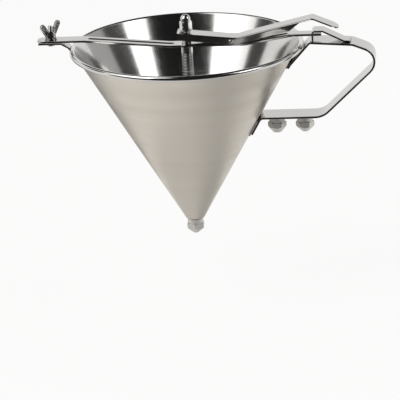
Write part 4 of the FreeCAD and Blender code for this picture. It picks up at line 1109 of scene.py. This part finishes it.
def arm_top(x):
    """Height of the arm's top face over the rim."""
    return ARM[1] - (x - ARM[0]) * ARM_FALL


shoulder = (SHOULDER_X, arm_top(SHOULDER_X))
corner_z = ((shoulder[1] - (GRIP[0] - GRIP[1] * GRIP_SLOPE - SHOULDER_X) * SHOULDER_FALL)
            / (1 + GRIP_SLOPE * SHOULDER_FALL))
corner_x = GRIP[0] + (corner_z - GRIP[1]) * GRIP_SLOPE
handle_line = [(cone_wall(RIM_HEIGHT + FOOT_TOP) + weld_space, FOOT_TOP),
               (cone_wall(RIM_HEIGHT + FOOT_LEAVE) + weld_space, FOOT_LEAVE),
               ARM, shoulder, (corner_x, corner_z), GRIP,
               (cone_wall(RIM_HEIGHT + GRIP[1]) + strip_space, GRIP[1]),
               (cone_wall(RIM_HEIGHT + FOOT_LOW) + strip_space, FOOT_LOW)]
handle_line = [(x, z + RIM_HEIGHT) for x, z in handle_line]
handle = object_from("strap_handle", strip(handle_line, HANDLE_BENDS, HANDLE_THICK, lambda x: HANDLE_HALF))
finish_piece(handle, "frame", "strip", ["handle"])
print("handle reaches %.1f mm from the axis" % corner_x)

# %% [markdown]
# The keeper is a small bridge of thinner strip. It stands on the arm with one leg, runs out flat and
# comes down to a foot that is welded on. The crossbar's tongue slips through a slot in the leg. The
# same strip helper bends it, and the slot is punched with a square block. Three flat blocks would be
# quicker to set up, but bent strip has round bends, and these catch the light.

# %% Keeper
TAB_TOP = RIM_HEIGHT + 10.2
THIN_STRIP = 1.6
THIN_EDGE = 0.3
KEEPER_HALF = 8.0
KEEPER_X = 116.0
KEEPER_TOP = RIM_HEIGHT + 13.6
KEEPER_ROOF = 10.5
KEEPER_FOOT = (146.0, 151.5)
KEEPER_BENDS = [1.2, 1.2, 1.2]
TONGUE_SLOT = (12.5, 2.5)
TONGUE_PLAY = 0.25
keeper_line = [(KEEPER_X, RIM_HEIGHT + arm_top(KEEPER_X) + FIT), (KEEPER_X, KEEPER_TOP),
               (KEEPER_X + KEEPER_ROOF, KEEPER_TOP)]
keeper_line += [(x, RIM_HEIGHT + arm_top(x) + THIN_STRIP + FIT) for x in KEEPER_FOOT]
keeper_strip = strip(keeper_line, KEEPER_BENDS, THIN_STRIP, lambda x: KEEPER_HALF, edge=THIN_EDGE)
keeper = object_from("tongue_keeper", keeper_strip)
slot_half = TONGUE_SLOT[0] / 2
leg = [(KEEPER_X - 2, -slot_half), (KEEPER_X + 4, -slot_half), (KEEPER_X + 4, slot_half),
       (KEEPER_X - 2, slot_half)]
slot_top = TAB_TOP + TONGUE_PLAY
punch(keeper, prism(leg, slot_top - TONGUE_SLOT[1], slot_top))
finish_piece(keeper, "frame", "strip", ["keeper"])
print("keeper slot: %.1f mm wide, %.1f mm high" % TONGUE_SLOT)

# %% [markdown]
# ## Lug, stud, washer and wing nut
# On the other side a bent lug is welded to the rim. Its flat end carries the clamp for the crossbar.
# It is a short piece of the same thin strip with one bend. This time the line is its lower face,
# because the heights on the stud are counted from there.

# %% Rim lug
LUG_UNDER = RIM_HEIGHT + 6.1
LUG_HALF = 6.5
LUG_BENDS = [3]
LUG_PLACES = (-137.2, -116.0, -108.21)
LUG_DROP = 4.70
lug_line = list(zip(LUG_PLACES, (LUG_UNDER, LUG_UNDER, LUG_UNDER - LUG_DROP)))
lug_strip = strip(lug_line, LUG_BENDS, THIN_STRIP, lambda x: LUG_HALF, side=1, edge=THIN_EDGE)
lug = object_from("clamp_lug", lug_strip)
finish_piece(lug, "frame", "strip", ["rim_lug"])
print("lug stands %.1f mm over the rim" % (LUG_UNDER + THIN_STRIP - RIM_HEIGHT))

# %% [markdown]
# A threaded stud sits in the lug: it has a low head below, a thin collar above and a thread up to its
# eased top. A thread could be cut with a helix and a Boolean, but the lathe's rippling shape
# makes it in one go. A plain washer lies on the bar under the nut.

# %% Clamp stud and washer
CLAMP_X = -125.7
CLAMP_RADIUS = 2.5
CLAMP_DEPTH = 0.4
CLAMP_PITCH = 0.8
STUD_TOP = RIM_HEIGHT + 23.4
STUD_EASE = 0.6
STUD_HEAD = [(0, -1.85), (3.4, -1.85), (4.2, -1.3), (4.2, -0.05)]
STUD_COLLAR = [(2.5, -0.05), (2.5, 1.65), (4.6, 1.65), (4.6, 2.05), (2.5, 2.05)]
thread_low = TAB_TOP + 1.0
stud_outline = [(radius, LUG_UNDER + height) for radius, height in STUD_HEAD + STUD_COLLAR]
stud_outline += [(CLAMP_RADIUS, thread_low)]
stud_outline += [(CLAMP_RADIUS, z) for z in steps_between(thread_low, STUD_TOP - STUD_EASE, 0.13)]
stud_outline += [(CLAMP_RADIUS, STUD_TOP - STUD_EASE), (1.95, STUD_TOP), (0, STUD_TOP)]
clamp_thread = threaded(CLAMP_RADIUS, CLAMP_DEPTH, CLAMP_PITCH, thread_low, STUD_TOP - 0.5)
clamp = object_from("clamp_screw", lathe(stud_outline, sides=40, shape=clamp_thread), at(CLAMP_X))
finish_piece(clamp, "frame", "turned", ["clamp_stud"])
WASHER = (2.6, 5.8)
WASHER_THICK = 0.95
washer_outline = soft_outline([(WASHER[0], 0), (WASHER[1], 0), (WASHER[1], WASHER_THICK),
                               (WASHER[0], WASHER_THICK)], 0.2)
washer = object_from("flat_washer", lathe(washer_outline), at(CLAMP_X, TAB_TOP + FIT))
finish_piece(washer, "frame", "strip", ["clamp_washer"])
print("stud stands %.1f mm over the tab" % (STUD_TOP - TAB_TOP))

# %% [markdown]
# The wing nut is cast, with no sharp line anywhere. Its hub is turned, and each wing is a flat ear with
# a round tip that is pushed into the hub. A voxel remesh then joins the three, and a little smoothing
# melts the joins as a casting would. A Boolean union would join them too, but leave hard inner corners.

# %% Wing nut
WING_FOOT = TAB_TOP + 1.05
WING_TURN = math.radians(52)
HUB_HEIGHT = 7.2
HUB_OUTLINE = [(1.2, 0), (5.2, 0), (4.2, HUB_HEIGHT), (1.2, HUB_HEIGHT)]
WING_ROUND = 2.9
WING_TIP = (12.6 - WING_ROUND, 15.2 - WING_ROUND)
WING_SIDES = (-1.1, 1.1)
WING_ROOT = (2.6, 4.9)
WING_INSET = 0.6
WING_ARC = (-38, 193)
ARC_STEPS = 20
NUT_BORE = 2.55
hub = lathe(soft_outline(HUB_OUTLINE, 0.5), sides=64)
tip_turns = [math.radians(WING_ARC[0] + WING_ARC[1] * step / ARC_STEPS) for step in range(ARC_STEPS + 1)]
wing_arc = [(WING_TIP[0] + WING_ROUND * math.cos(turn), WING_TIP[1] + WING_ROUND * math.sin(turn))
            for turn in tip_turns]
wing_outline = [(WING_ROOT[0], WING_INSET), (WING_ROOT[1], WING_INSET)] + wing_arc
wing_outline += [(WING_ROOT[0], HUB_HEIGHT - WING_INSET)]
for way in (1, -1):
    skin(hub, [[hub.verts.new((way * x * MM, y * MM, z * MM)) for x, z in wing_outline]
               for y in WING_SIDES])
wing_nut = object_from("cast_wing_nut", hub, at(CLAMP_X, WING_FOOT, WING_TURN))
melt = wing_nut.modifiers.new("melt", "REMESH")
melt.mode = "VOXEL"
melt.voxel_size = 0.3 * MM
ease = wing_nut.modifiers.new("ease", "SMOOTH")
ease.iterations = 6
punch(wing_nut)
punch(wing_nut, prism(round_hole(CLAMP_X, NUT_BORE), WING_FOOT - 2, WING_FOOT + 12))
finish_piece(wing_nut, "clamp_nut", "cast", ["wing_nut"])
print("wing nut:", len(wing_nut.data.vertices), "points")

# %% [markdown]
# ## The crossbar and what it carries
# The crossbar lies over the rim. Its middle is a wide eye for the guide bush, one end is rounded under
# the wing nut, and the other narrows to the tongue. Two long slots run along it. Where its width
# changes, the strip is given extra stations, so that the curve of the eye comes out round. The slots'
# edges are left raw by the punch, so they get a rougher finish, and its near-black tone is painted
# shade for the inside of the narrow slots.

# %% Width of the crossbar
BAR_TOP = RIM_HEIGHT + 3.2
BAR_HALF = 7.75
BAR_CORNER = 7.0
BAR_ENDS = (-138.2, 125.0)
EYE = 9.0
TONGUE = (98.0, 6.0)


def bar_half(x):
    """Half the bar's width at a place along it."""
    if x > TONGUE[0]:
        return TONGUE[1]
    if x < BAR_ENDS[0] + BAR_CORNER:
        into = BAR_CORNER - (x - BAR_ENDS[0])
        return BAR_HALF - BAR_CORNER + math.sqrt(max(0.0, BAR_CORNER ** 2 - into ** 2))
    return max(BAR_HALF, math.sqrt(max(0.0, EYE ** 2 - x ** 2)))


corner_stops = [BAR_ENDS[0] + BAR_CORNER * (1 - math.cos(turn)) for turn in quarter_turn(10)[1:]]
eye_stops = [EYE * math.sin(math.radians(turn)) for turn in range(-34, 35, 4)]
bar_stops = corner_stops + eye_stops + [TONGUE[0] - 0.06, TONGUE[0] + 0.06]
print("crossbar %.0f mm long" % (BAR_ENDS[1] - BAR_ENDS[0]))

# %% [markdown]
# The bar lies lower in the middle than at its two ends, so its line has four soft bends. The slots
# and the two holes are punched through it in one go. Faces inside the slots are then found by where
# they lie and by their level normals, and take the second finish, the rough one with painted shade.
# They could be picked in Edit Mode, but a rule finds them again each time the script runs.

# %% Crossbar
BAR_THICK = 2.0
BAR_BENDS = [10] * 4
BAR_BENDS_AT = (-95.0, -16.0, 54.0, 96.0)
BAR_SLOTS = ((-91.0, -11.5), (57.0, 94.0))
SLOT_WIDTH = 5.0
BUSH_HOLE = 4.55
CLAMP_HOLE = 2.65
SLOT_REACH = 42 * MM
SLOT_FLANK = 2.7 * MM
LEVEL = 0.3


def through(outline):
    """A cutter that reaches through everything over the rim."""
    return prism(outline, RIM_HEIGHT - 10, RIM_HEIGHT + 30)


bar_places = (BAR_ENDS[0], *BAR_BENDS_AT, BAR_ENDS[1])
bar_line = list(zip(bar_places, (TAB_TOP, TAB_TOP, BAR_TOP, BAR_TOP, TAB_TOP, TAB_TOP)))
crossbar = object_from("slotted_crossbar", strip(bar_line, BAR_BENDS, BAR_THICK, bar_half, stops=bar_stops))
slot_cutters = [through(slot_hole(first, last, SLOT_WIDTH)) for first, last in BAR_SLOTS]
punch(crossbar, *slot_cutters, through(round_hole(0, BUSH_HOLE)), through(round_hole(CLAMP_X, CLAMP_HOLE)))
# Faces inside the slots take the rough finish whose near-black tone is painted shade.
for face in crossbar.data.polygons:
    from_slot = min(abs(face.center.x - sum(ends) / 2 * MM) for ends in BAR_SLOTS)
    if from_slot < SLOT_REACH and abs(face.center.y) < SLOT_FLANK and abs(face.normal.z) < LEVEL:
        face.material_index = 1
finish_piece(crossbar, "frame", ["strip", "punched_edge_painted_shade"], ["crossbar"])
print("slot edges:", sum(face.material_index for face in crossbar.data.polygons), "faces")

# %% [markdown]
# A shouldered bush sits in the bar's eye and guides the rod. A rivet, with its domed head under the
# bar, holds the lever's pivot lug on top. Both are plain turned parts. The dome is a quarter of an
# ellipse in the outline, which is easier to size than a sphere that is cut and scaled.

# %% Guide bush and pivot rivet
BUSH_FOOT = RIM_HEIGHT - 5.8
BUSH_TOP = BAR_TOP + 1.8
BUSH_BORE = 3.08
BUSH_BODY = 5.3
BUSH_NECK = 4.5
BAR_UNDER = BAR_TOP - BAR_THICK
bush = object_from("rod_bush", lathe(soft_outline([
    (BUSH_BORE, BUSH_FOOT), (BUSH_BODY, BUSH_FOOT), (BUSH_BODY, BAR_UNDER - FIT),
    (BUSH_NECK, BAR_UNDER - FIT), (BUSH_NECK, BUSH_TOP), (BUSH_BORE, BUSH_TOP)], 0.3)))
finish_piece(bush, "frame", "turned", ["guide_bush"])
PIVOT_X = 41.9
RIVET_SHANK = 1.6
RIVET_HEAD = 2.2
RIVET_DOME = 1.4
RIVET_EDGE = 0.45
dome = [(RIVET_HEAD * math.sin(turn), BAR_UNDER - RIVET_EDGE - RIVET_DOME * math.cos(turn))
        for turn in quarter_turn(10)]
rivet_outline = [(0, BAR_UNDER - RIVET_EDGE - RIVET_DOME)] + dome[1:]
rivet_outline += [(RIVET_HEAD, BAR_UNDER - FIT), (RIVET_SHANK, BAR_UNDER - FIT), (RIVET_SHANK, BAR_TOP),
                  (0, BAR_TOP)]
rivet = object_from("lug_rivet", lathe(rivet_outline, sides=40), at(PIVOT_X))
finish_piece(rivet, "frame", "turned", ["pivot_rivet"])
print("bush hangs %.1f mm under the bar" % (BAR_UNDER - BUSH_FOOT))

# %% [markdown]
# ## The thumb lever
# The lever is pressed from thin sheet into a channel, open below, with flanges that hang down beside the
# crossbar. Near the rim the flanges run out and the web alone goes on to the thumb pad, which slopes
# down to round corners. Its line has two bends: up from the low point towards the pad, and down again.
# Two helpers give the depth of the flanges and half the width at each place along it.

# %% Line and widths of the lever
LEVER_BEND = (46.0, RIM_HEIGHT + 9.0)
LEVER_END = -8.0
PEAK_X = 117.1
PAD_END = 141.1
PAD_CORNER = 7.0
PAD_FALL = math.tan(math.radians(23))
LEFT_RISE = math.tan(math.radians(6))
RIGHT_RISE = math.tan(math.radians(13.3))
LEVER_HALF = 9.25
SHEET_LEVER = 1.2
FLANGE = 6.4
FLANGE_FALL = (95.9, 105.4)
peak_z = LEVER_BEND[1] + (PEAK_X - LEVER_BEND[0]) * RIGHT_RISE
lever_line = [(LEVER_END, LEVER_BEND[1] + (LEVER_BEND[0] - LEVER_END) * LEFT_RISE), LEVER_BEND,
              (PEAK_X, peak_z), (PAD_END, peak_z - (PAD_END - PEAK_X) * PAD_FALL)]


def flange_depth(x):
    """How far the flanges hang down, from the web's top face."""
    share = (x - FLANGE_FALL[0]) / (FLANGE_FALL[1] - FLANGE_FALL[0])
    return FLANGE + (SHEET_LEVER - FLANGE) * min(max(share, 0.0), 1.0)


def pad_half(x):
    """Half the lever's width, with the pad's round corners."""
    into = x - (PAD_END - PAD_CORNER)
    if into <= 0:
        return LEVER_HALF
    return LEVER_HALF - PAD_CORNER + math.sqrt(max(0.0, PAD_CORNER ** 2 - into ** 2))


print("lever peaks %.1f mm over the rim" % (peak_z - RIM_HEIGHT))

# %% [markdown]
# The channel's section is drawn at each station of that line: a web with a rounded shoulder on each
# side and two legs that get shorter and then vanish. All sections have the same number of points, so
# they can be skinned like a strip. A Solidify modifier on a bent sheet would give the channel as well,
# but it could not let the legs fade out evenly.

# %% Lever
CHANNEL_ROUND = 1.5
LEG_EASE = 0.3
LEG_CORNER = 0.25
NO_LEG = 1.6
LEVER_HOLE = 4.2
LEVER_BENDS = [18, 4]
FALL_STOPS = [95.9, 97.5, 99.0, 100.6, 102.2, 103.8, 105.4, 107.0]


def lever_section(x):
    """One half of the channel: (across, down) from the web's top, round the leg, to the web's underside."""
    half, depth = pad_half(x), flange_depth(x)
    outer = [(half - CHANNEL_ROUND + CHANNEL_ROUND * math.sin(turn),
              CHANNEL_ROUND - CHANNEL_ROUND * math.cos(turn)) for turn in quarter_turn(5)]
    if depth < NO_LEG:
        outer = [(across, min(down, SHEET_LEVER * 0.8)) for across, down in outer]
    low = max(depth, SHEET_LEVER)
    inner_across = half - SHEET_LEVER
    leg_end = [(half, max(low - LEG_EASE, outer[-1][1] + 0.02)), (half - LEG_CORNER, low),
               (inner_across + LEG_CORNER, low)]
    inner = [(inner_across, max(low - LEG_EASE, SHEET_LEVER)), (inner_across - LEG_EASE, SHEET_LEVER)]
    return outer + leg_end + inner


def lever_mesh():
    """The whole channel, from a section at each station."""
    line = rounded_line(lever_line, line_radii(lever_line, LEVER_BENDS, SHEET_LEVER, -1), steps=10)
    stops = list(range(-6, 96, 6)) + FALL_STOPS
    stops += [PAD_END - PAD_CORNER * (1 - math.sin(turn)) for turn in quarter_turn(12)[:-1]]
    bm = bmesh.new()
    rings = []
    for point in with_stops(line, stops):
        right_half = lever_section(point.x)
        section = right_half + [(-across, down) for across, down in right_half[::-1]]
        places = [(point.x * MM, across * MM, (point.y - down) * MM) for across, down in section]
        rings.append([bm.verts.new(place) for place in places])
    skin(bm, rings)
    return bm


lever = object_from("thumb_channel", lever_mesh())
punch(lever, prism(round_hole(0, LEVER_HOLE), RIM_HEIGHT + 5, RIM_HEIGHT + 30))
finish_piece(lever, "thumb_lever", "strip", ["lever"])
print("lever:", len(lever.data.vertices), "points")

# %% [markdown]
# The lever turns on a plain pin through its flanges. One end has a low domed head, and the other a
# groove for a clip. It is turned upright like the other round parts, and then a matrix lays it across
# the lever. The dome's edge and the groove are what show from the side, so they are in the outline.

# %% Pivot pin
PIVOT_Z = RIM_HEIGHT + 5.6
PIN = 1.2
PIN_HEAD = 2.3
HEAD_EDGE = 0.3
HEAD_DOME = 0.9
GROOVE = (0.85, 0.8)
PIN_TAIL = 1.8
PIN_EASE = 0.3
PIN_PLAY = 0.1
flank = LEVER_HALF + PIN_PLAY
dome = [(PIN_HEAD * math.sin(turn), -flank - HEAD_EDGE - HEAD_DOME * math.cos(turn))
        for turn in quarter_turn(8)]
pin_outline = [(0, -flank - HEAD_EDGE - HEAD_DOME)] + dome[1:]
pin_outline += [(PIN_HEAD, -flank), (PIN, -flank), (PIN, flank), (GROOVE[0], flank)]
pin_outline += [(GROOVE[0], flank + GROOVE[1]), (PIN, flank + GROOVE[1])]
pin_outline += [(PIN, flank + PIN_TAIL - PIN_EASE), (PIN - PIN_EASE, flank + PIN_TAIL)]
pin_outline += [(0, flank + PIN_TAIL)]
lying = Matrix.Translation((PIVOT_X * MM, 0, PIVOT_Z * MM)) @ Matrix.Rotation(-math.pi / 2, 4, "X")
pin = object_from("hinge_pin", lathe(pin_outline, sides=40), lying)
finish_piece(pin, "thumb_lever", "turned", ["pivot_pin"])
print("pin is %.1f mm long" % (2 * flank + HEAD_EDGE + HEAD_DOME + PIN_TAIL))

# %% [markdown]
# ## The stopper rod, its spring and its nuts
# The rod hangs through the bush with the stopper plug at its foot, and its upper end is threaded for
# the nuts. Rod and plug are two turned pieces. One outline could hold both, but the measured model has
# two parts there, and each stays a piece of its own. The plug's cone follows the slope of its seat at
# a small distance, so they never cut each other.

# %% Rod and plug
ROD = 3.0
ROD_HOLE = 3.02
ROD_FOOT = 22.0
ROD_STATION = 100.0
ROD_THREAD = 188.0
ROD_TOP = 208.176
ROD_EASE = 0.5
ROD_DEPTH = 0.4
ROD_PITCH = 1.0
rod_outline = [(0, ROD_FOOT), (ROD, ROD_FOOT), (ROD, ROD_STATION), (ROD, ROD_THREAD)]
rod_outline += [(ROD, z) for z in steps_between(ROD_THREAD, ROD_TOP - ROD_EASE, 0.17)]
rod_outline += [(ROD, ROD_TOP - ROD_EASE), (ROD - ROD_EASE, ROD_TOP), (0, ROD_TOP)]
rod_thread = threaded(ROD, ROD_DEPTH, ROD_PITCH, ROD_THREAD, ROD_TOP - 0.3)
rod = object_from("lift_rod", lathe(rod_outline, sides=40, shape=rod_thread))
finish_piece(rod, "stopper", "turned", ["stopper_rod"])
PLUG_FOOT = 16.9
PLUG_WIDE = (23.0, 24.5)
PLUG_NECK = (4.6, 28.5)
PLUG_TOP = 31.0
SEAT_SPACE = 0.3
plug_space = SEAT_SPACE / math.cos(math.radians(45))


def plug_reach(height):
    """Radius of the plug's cone, which keeps off the seat."""
    return OUTLET_BORE + (height - SEAT_LOW) - plug_space


plug = object_from("stopper_cone", lathe(soft_outline([
    (0, PLUG_FOOT), (plug_reach(PLUG_FOOT), PLUG_FOOT), (plug_reach(PLUG_WIDE[0]), PLUG_WIDE[0]),
    (plug_reach(PLUG_WIDE[0]), PLUG_WIDE[1]), PLUG_NECK, (PLUG_NECK[0], PLUG_TOP), (ROD_HOLE, PLUG_TOP),
    (ROD_HOLE, ROD_FOOT), (0, ROD_FOOT)], 0.2, closed=False)))
finish_piece(plug, "stopper", "turned", ["stopper_plug"])
print("rod is %.1f mm long" % (ROD_TOP - ROD_FOOT))

# %% [markdown]
# A collar on the rod carries the foot of the return spring. It is a plain ring, and a small screw, which
# stays as measured, holds it. A cylinder with a bevel would do, but the lathe gives the same soft
# edges as on the other turned pieces.

# %% Collar
SPRING_FOOT = 145.2
COLLAR_HEIGHT = 5
COLLAR_RADIUS = 6.4
collar_foot = SPRING_FOOT - COLLAR_HEIGHT
collar = object_from("rod_collar", lathe(soft_outline([
    (ROD_HOLE, collar_foot), (COLLAR_RADIUS, collar_foot), (COLLAR_RADIUS, SPRING_FOOT),
    (ROD_HOLE, SPRING_FOOT)], 0.4)))
finish_piece(collar, "stopper", "turned", ["spring_collar"])
print("collar: %.1f mm across" % (2 * COLLAR_RADIUS))

# %% [markdown]
# The coil spring between the bush and the collar pushes the plug into its seat. It is a tube swept
# along a helix, and its end turns lie close, as the ends of a compression spring do. Blender's Screw
# modifier sweeps a helix too, but with one pitch only.

# %% Return spring
SPRING_TOP = 175.2
SPRING_WIRE = 0.6
COIL = 4.7
TURNS = 11
TURN_STEPS = 40
WIRE_SIDES = 12
CLOSE_TURN = 2 * SPRING_WIRE + 0.05
spring_low = SPRING_FOOT + 0.1 + SPRING_WIRE
spring_high = SPRING_TOP - 0.1 - SPRING_WIRE


def coil_height(turn):
    """Height of the wire after some turns: one close turn at each end, even coils between."""
    if turn < 1:
        return spring_low + CLOSE_TURN * turn
    if turn > TURNS - 1:
        return spring_high - CLOSE_TURN * (TURNS - turn)
    even = spring_high - spring_low - 2 * CLOSE_TURN
    return spring_low + CLOSE_TURN + even * (turn - 1) / (TURNS - 2)


coil = bmesh.new()
wire_rings = []
for step in range(TURNS * TURN_STEPS + 1):
    angle = 2 * math.pi * step / TURN_STEPS
    ring = []
    for side in range(WIRE_SIDES):
        lap = 2 * math.pi * side / WIRE_SIDES
        reach = (COIL + SPRING_WIRE * math.cos(lap)) * MM
        height = (coil_height(step / TURN_STEPS) + SPRING_WIRE * math.sin(lap)) * MM
        ring.append(coil.verts.new((reach * math.cos(angle), reach * math.sin(angle), height)))
    wire_rings.append(ring)
skin(coil, wire_rings)
spring = finish_piece(object_from("closing_spring", coil), "frame", "wire", ["return_spring"])
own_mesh(spring)
print("spring: %d turns over %.1f mm" % (TURNS, SPRING_TOP - SPRING_FOOT))

# %% [markdown]
# On top of the lever a bevelled washer, a jam nut and an acorn nut let it lift the rod. A nut's corners
# are turned off at both ends, which leaves curved edges on its flats. The outline follows that chamfer
# in a few steps and the hexagon shape does the rest. Only the flats and corners are made: the
# threads inside are out of sight.

# %% Lift washer and jam nut
LIFT_FOOT = 195.576
LIFT_BEVEL = (4.0, 6.0)
LIFT_HEIGHTS = (1.0, 2.0)
jam_foot = LIFT_FOOT + LIFT_HEIGHTS[1]
lift_washer = object_from("bevel_washer", lathe(soft_outline([
    (ROD_HOLE, LIFT_FOOT), (LIFT_BEVEL[0], LIFT_FOOT), (LIFT_BEVEL[1], LIFT_FOOT + LIFT_HEIGHTS[0]),
    (LIFT_BEVEL[1], jam_foot), (ROD_HOLE, jam_foot)], 0.15)))
finish_piece(lift_washer, "stopper", "turned", ["lift_washer"])
NUT_FLATS = 10.0
NUT_SIDES = 96
JAM_HEIGHT = 3.0
CHAMFER_RISE = 0.6
nut_corner = NUT_FLATS / math.sqrt(3)


def chamfered_hexagon(foot, height):
    """Outline of a hexagon whose corners are turned off at both ends."""
    flat = NUT_FLATS / 2
    rise = (nut_corner - flat) * CHAMFER_RISE
    low = [(flat + (nut_corner - flat) * share, rise * share) for share in (0, 0.25, 0.5, 0.75, 1)]
    high = [(radius, height - up) for radius, up in low[::-1]]
    return [(flat - 0.1, foot)] + [(radius, foot + up) for radius, up in low + high]


jam_outline = [(ROD_HOLE, jam_foot)] + chamfered_hexagon(jam_foot, JAM_HEIGHT)
jam_outline += [(ROD_HOLE, jam_foot + JAM_HEIGHT)]
jam = object_from("thin_nut", lathe(jam_outline, sides=NUT_SIDES, shape=hexagon(NUT_FLATS)))
finish_piece(jam, "stopper", "nut", ["jam_nut"])
print("nuts: %.0f mm across the flats" % NUT_FLATS)

# %% [markdown]
# The acorn nut closes the top. It is a taller hexagon of the same width, with a domed cap on it, and it
# is hollow for the end of the rod. One outline holds all three, so the cap runs into the hexagon without
# a seam. A separate sphere would need joining and smoothing to look like one piece.

# %% Acorn nut
ACORN_HEX = 4.6
ACORN_HEIGHT = 11.2
ACORN_DEPTH = 8.2
DOME = 4.6
acorn_foot = jam_foot + JAM_HEIGHT
dome_middle = acorn_foot + ACORN_HEIGHT - DOME
dome_line = [(DOME * math.cos(turn), dome_middle + DOME * math.sin(turn)) for turn in quarter_turn(14)[:-1]]
acorn_outline = [(ROD_HOLE, acorn_foot)] + chamfered_hexagon(acorn_foot, ACORN_HEX)
acorn_outline += [(DOME, acorn_foot + ACORN_HEX)] + dome_line
acorn_outline += [(0, acorn_foot + ACORN_HEIGHT), (0, acorn_foot + ACORN_DEPTH)]
acorn_outline += [(ROD_HOLE, acorn_foot + ACORN_DEPTH)]
acorn = object_from("acorn_cap", lathe(acorn_outline, sides=NUT_SIDES, shape=hexagon(NUT_FLATS)))
finish_piece(acorn, "stopper", "nut", ["acorn_nut"])
print("acorn nut tops out %.1f mm over the rim" % (acorn_foot + ACORN_HEIGHT - RIM_HEIGHT))

# %% [markdown]
# ## Weld beads
# The handle's feet, the lug and the keeper are welded on. A weld bead is a row of small overlapping
# puddles. Here each bead is a tube along its seam, and its radius rises and falls in short steps and
# shrinks at the ends. A bump in the material would be cheaper, but it would not show in the outline.

# %% Bead along a seam
BEAD_SIDES = 12
BEAD_STEP = 0.3
PUDDLE = 1.1
PUDDLE_LOW = 0.85
BEAD_END = 0.15


def bead(name, path, radius):
    """A weld bead along a path of points in mm."""
    path = [Vector(point) for point in path]
    bm = bmesh.new()
    rings = []
    travelled = 0.0
    for index, point in enumerate(path):
        along = (path[min(index + 1, len(path) - 1)] - path[max(index - 1, 0)]).normalized()
        travelled += (point - path[max(index - 1, 0)]).length
        first = along.orthogonal().normalized()
        second = along.cross(first)
        puddle = PUDDLE_LOW + (1 - PUDDLE_LOW) * abs(math.sin(math.pi * travelled / PUDDLE))
        end = min(index, len(path) - 1 - index) / 3
        reach = radius * puddle * math.sqrt(min(1.0, BEAD_END + end))
        ring = []
        for side in range(BEAD_SIDES):
            turn = 2 * math.pi * side / BEAD_SIDES
            out = first * (reach * math.cos(turn)) + second * (reach * math.sin(turn))
            ring.append(bm.verts.new((point + out) * MM))
        rings.append(ring)
    skin(bm, rings)
    return finish_piece(object_from(name, bm), "frame", "weld")


def seam(start, length):
    """Even steps along a seam."""
    return [start + BEAD_STEP * step for step in range(int(length / BEAD_STEP) + 1)]


print("beads have a point every %.1f mm" % BEAD_STEP)

# %% [markdown]
# The beads go where a welder can reach: under the upper foot, round three sides of the lower foot, at
# the end of the keeper and along the lug's edge on the rim. Their paths are worked out from the radius
# of the cone or the rim and from the arm's face, so that each bead lies partly sunk in its seam.

# %% Weld beads
FOOT_BEAD = 0.9
TOP_SEAM = 20.3
LOW_SEAM = 84.3
SIDE_SEAM = (70.5, 13)
LUG_SEAM = (108.9, 1.2)
END_PROUD = 0.5
SIDE_PROUD = 0.6
KEEPER_PROUD = 0.4
KEEPER_BEAD = 0.7
LUG_BEAD = 0.8


def on_cone(y, drop, out):
    """A point just outside the cone, a drop under the rim and y to the side."""
    reach = cone_wall(RIM_HEIGHT - drop) + out
    return math.sqrt(reach ** 2 - y ** 2), y, RIM_HEIGHT - drop


across = seam(-12.0, 24)
bead("weld_top_foot", [on_cone(y, TOP_SEAM, END_PROUD) for y in across], FOOT_BEAD)
bead("weld_low_foot", [on_cone(y, LOW_SEAM, END_PROUD) for y in across], FOOT_BEAD)
for way, word in ((-1, "near"), (1, "far")):
    down = [on_cone(way * HANDLE_HALF, drop, SIDE_PROUD) for drop in seam(*SIDE_SEAM)]
    bead("weld_low_foot_" + word, down, FOOT_BEAD)
foot_end = KEEPER_FOOT[1]
foot_rise = RIM_HEIGHT + arm_top(foot_end) + KEEPER_PROUD
bead("weld_keeper_foot", [(foot_end, y, foot_rise) for y in seam(-7.0, 14)], KEEPER_BEAD)
lug_edge = [(-math.sqrt(LUG_SEAM[0] ** 2 - y ** 2), y, RIM_HEIGHT + LUG_SEAM[1]) for y in seam(-6.0, 12)]
bead("weld_lug", lug_edge, LUG_BEAD)

# %% [markdown]
# ## Small measured pieces that stay
# Four small pieces are hardly seen and are right as measured: the wire inside the rim, the pivot lug,
# the clip on the pin and the screw in the collar. They keep their own meshes and only get a finish.
# New meshes would add work and faces, and no difference would show.

# %% Finish for the pieces that stay
KEPT = {"rim_wire": "wire", "pivot_lug": "strip", "pin_clip": "wire", "collar_screw": "wire"}
for node, finish in KEPT.items():
    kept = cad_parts[node]
    kept.data.materials.clear()
    kept.data.materials.append(FINISHES[finish])
print("kept as measured:", ", ".join(KEPT))
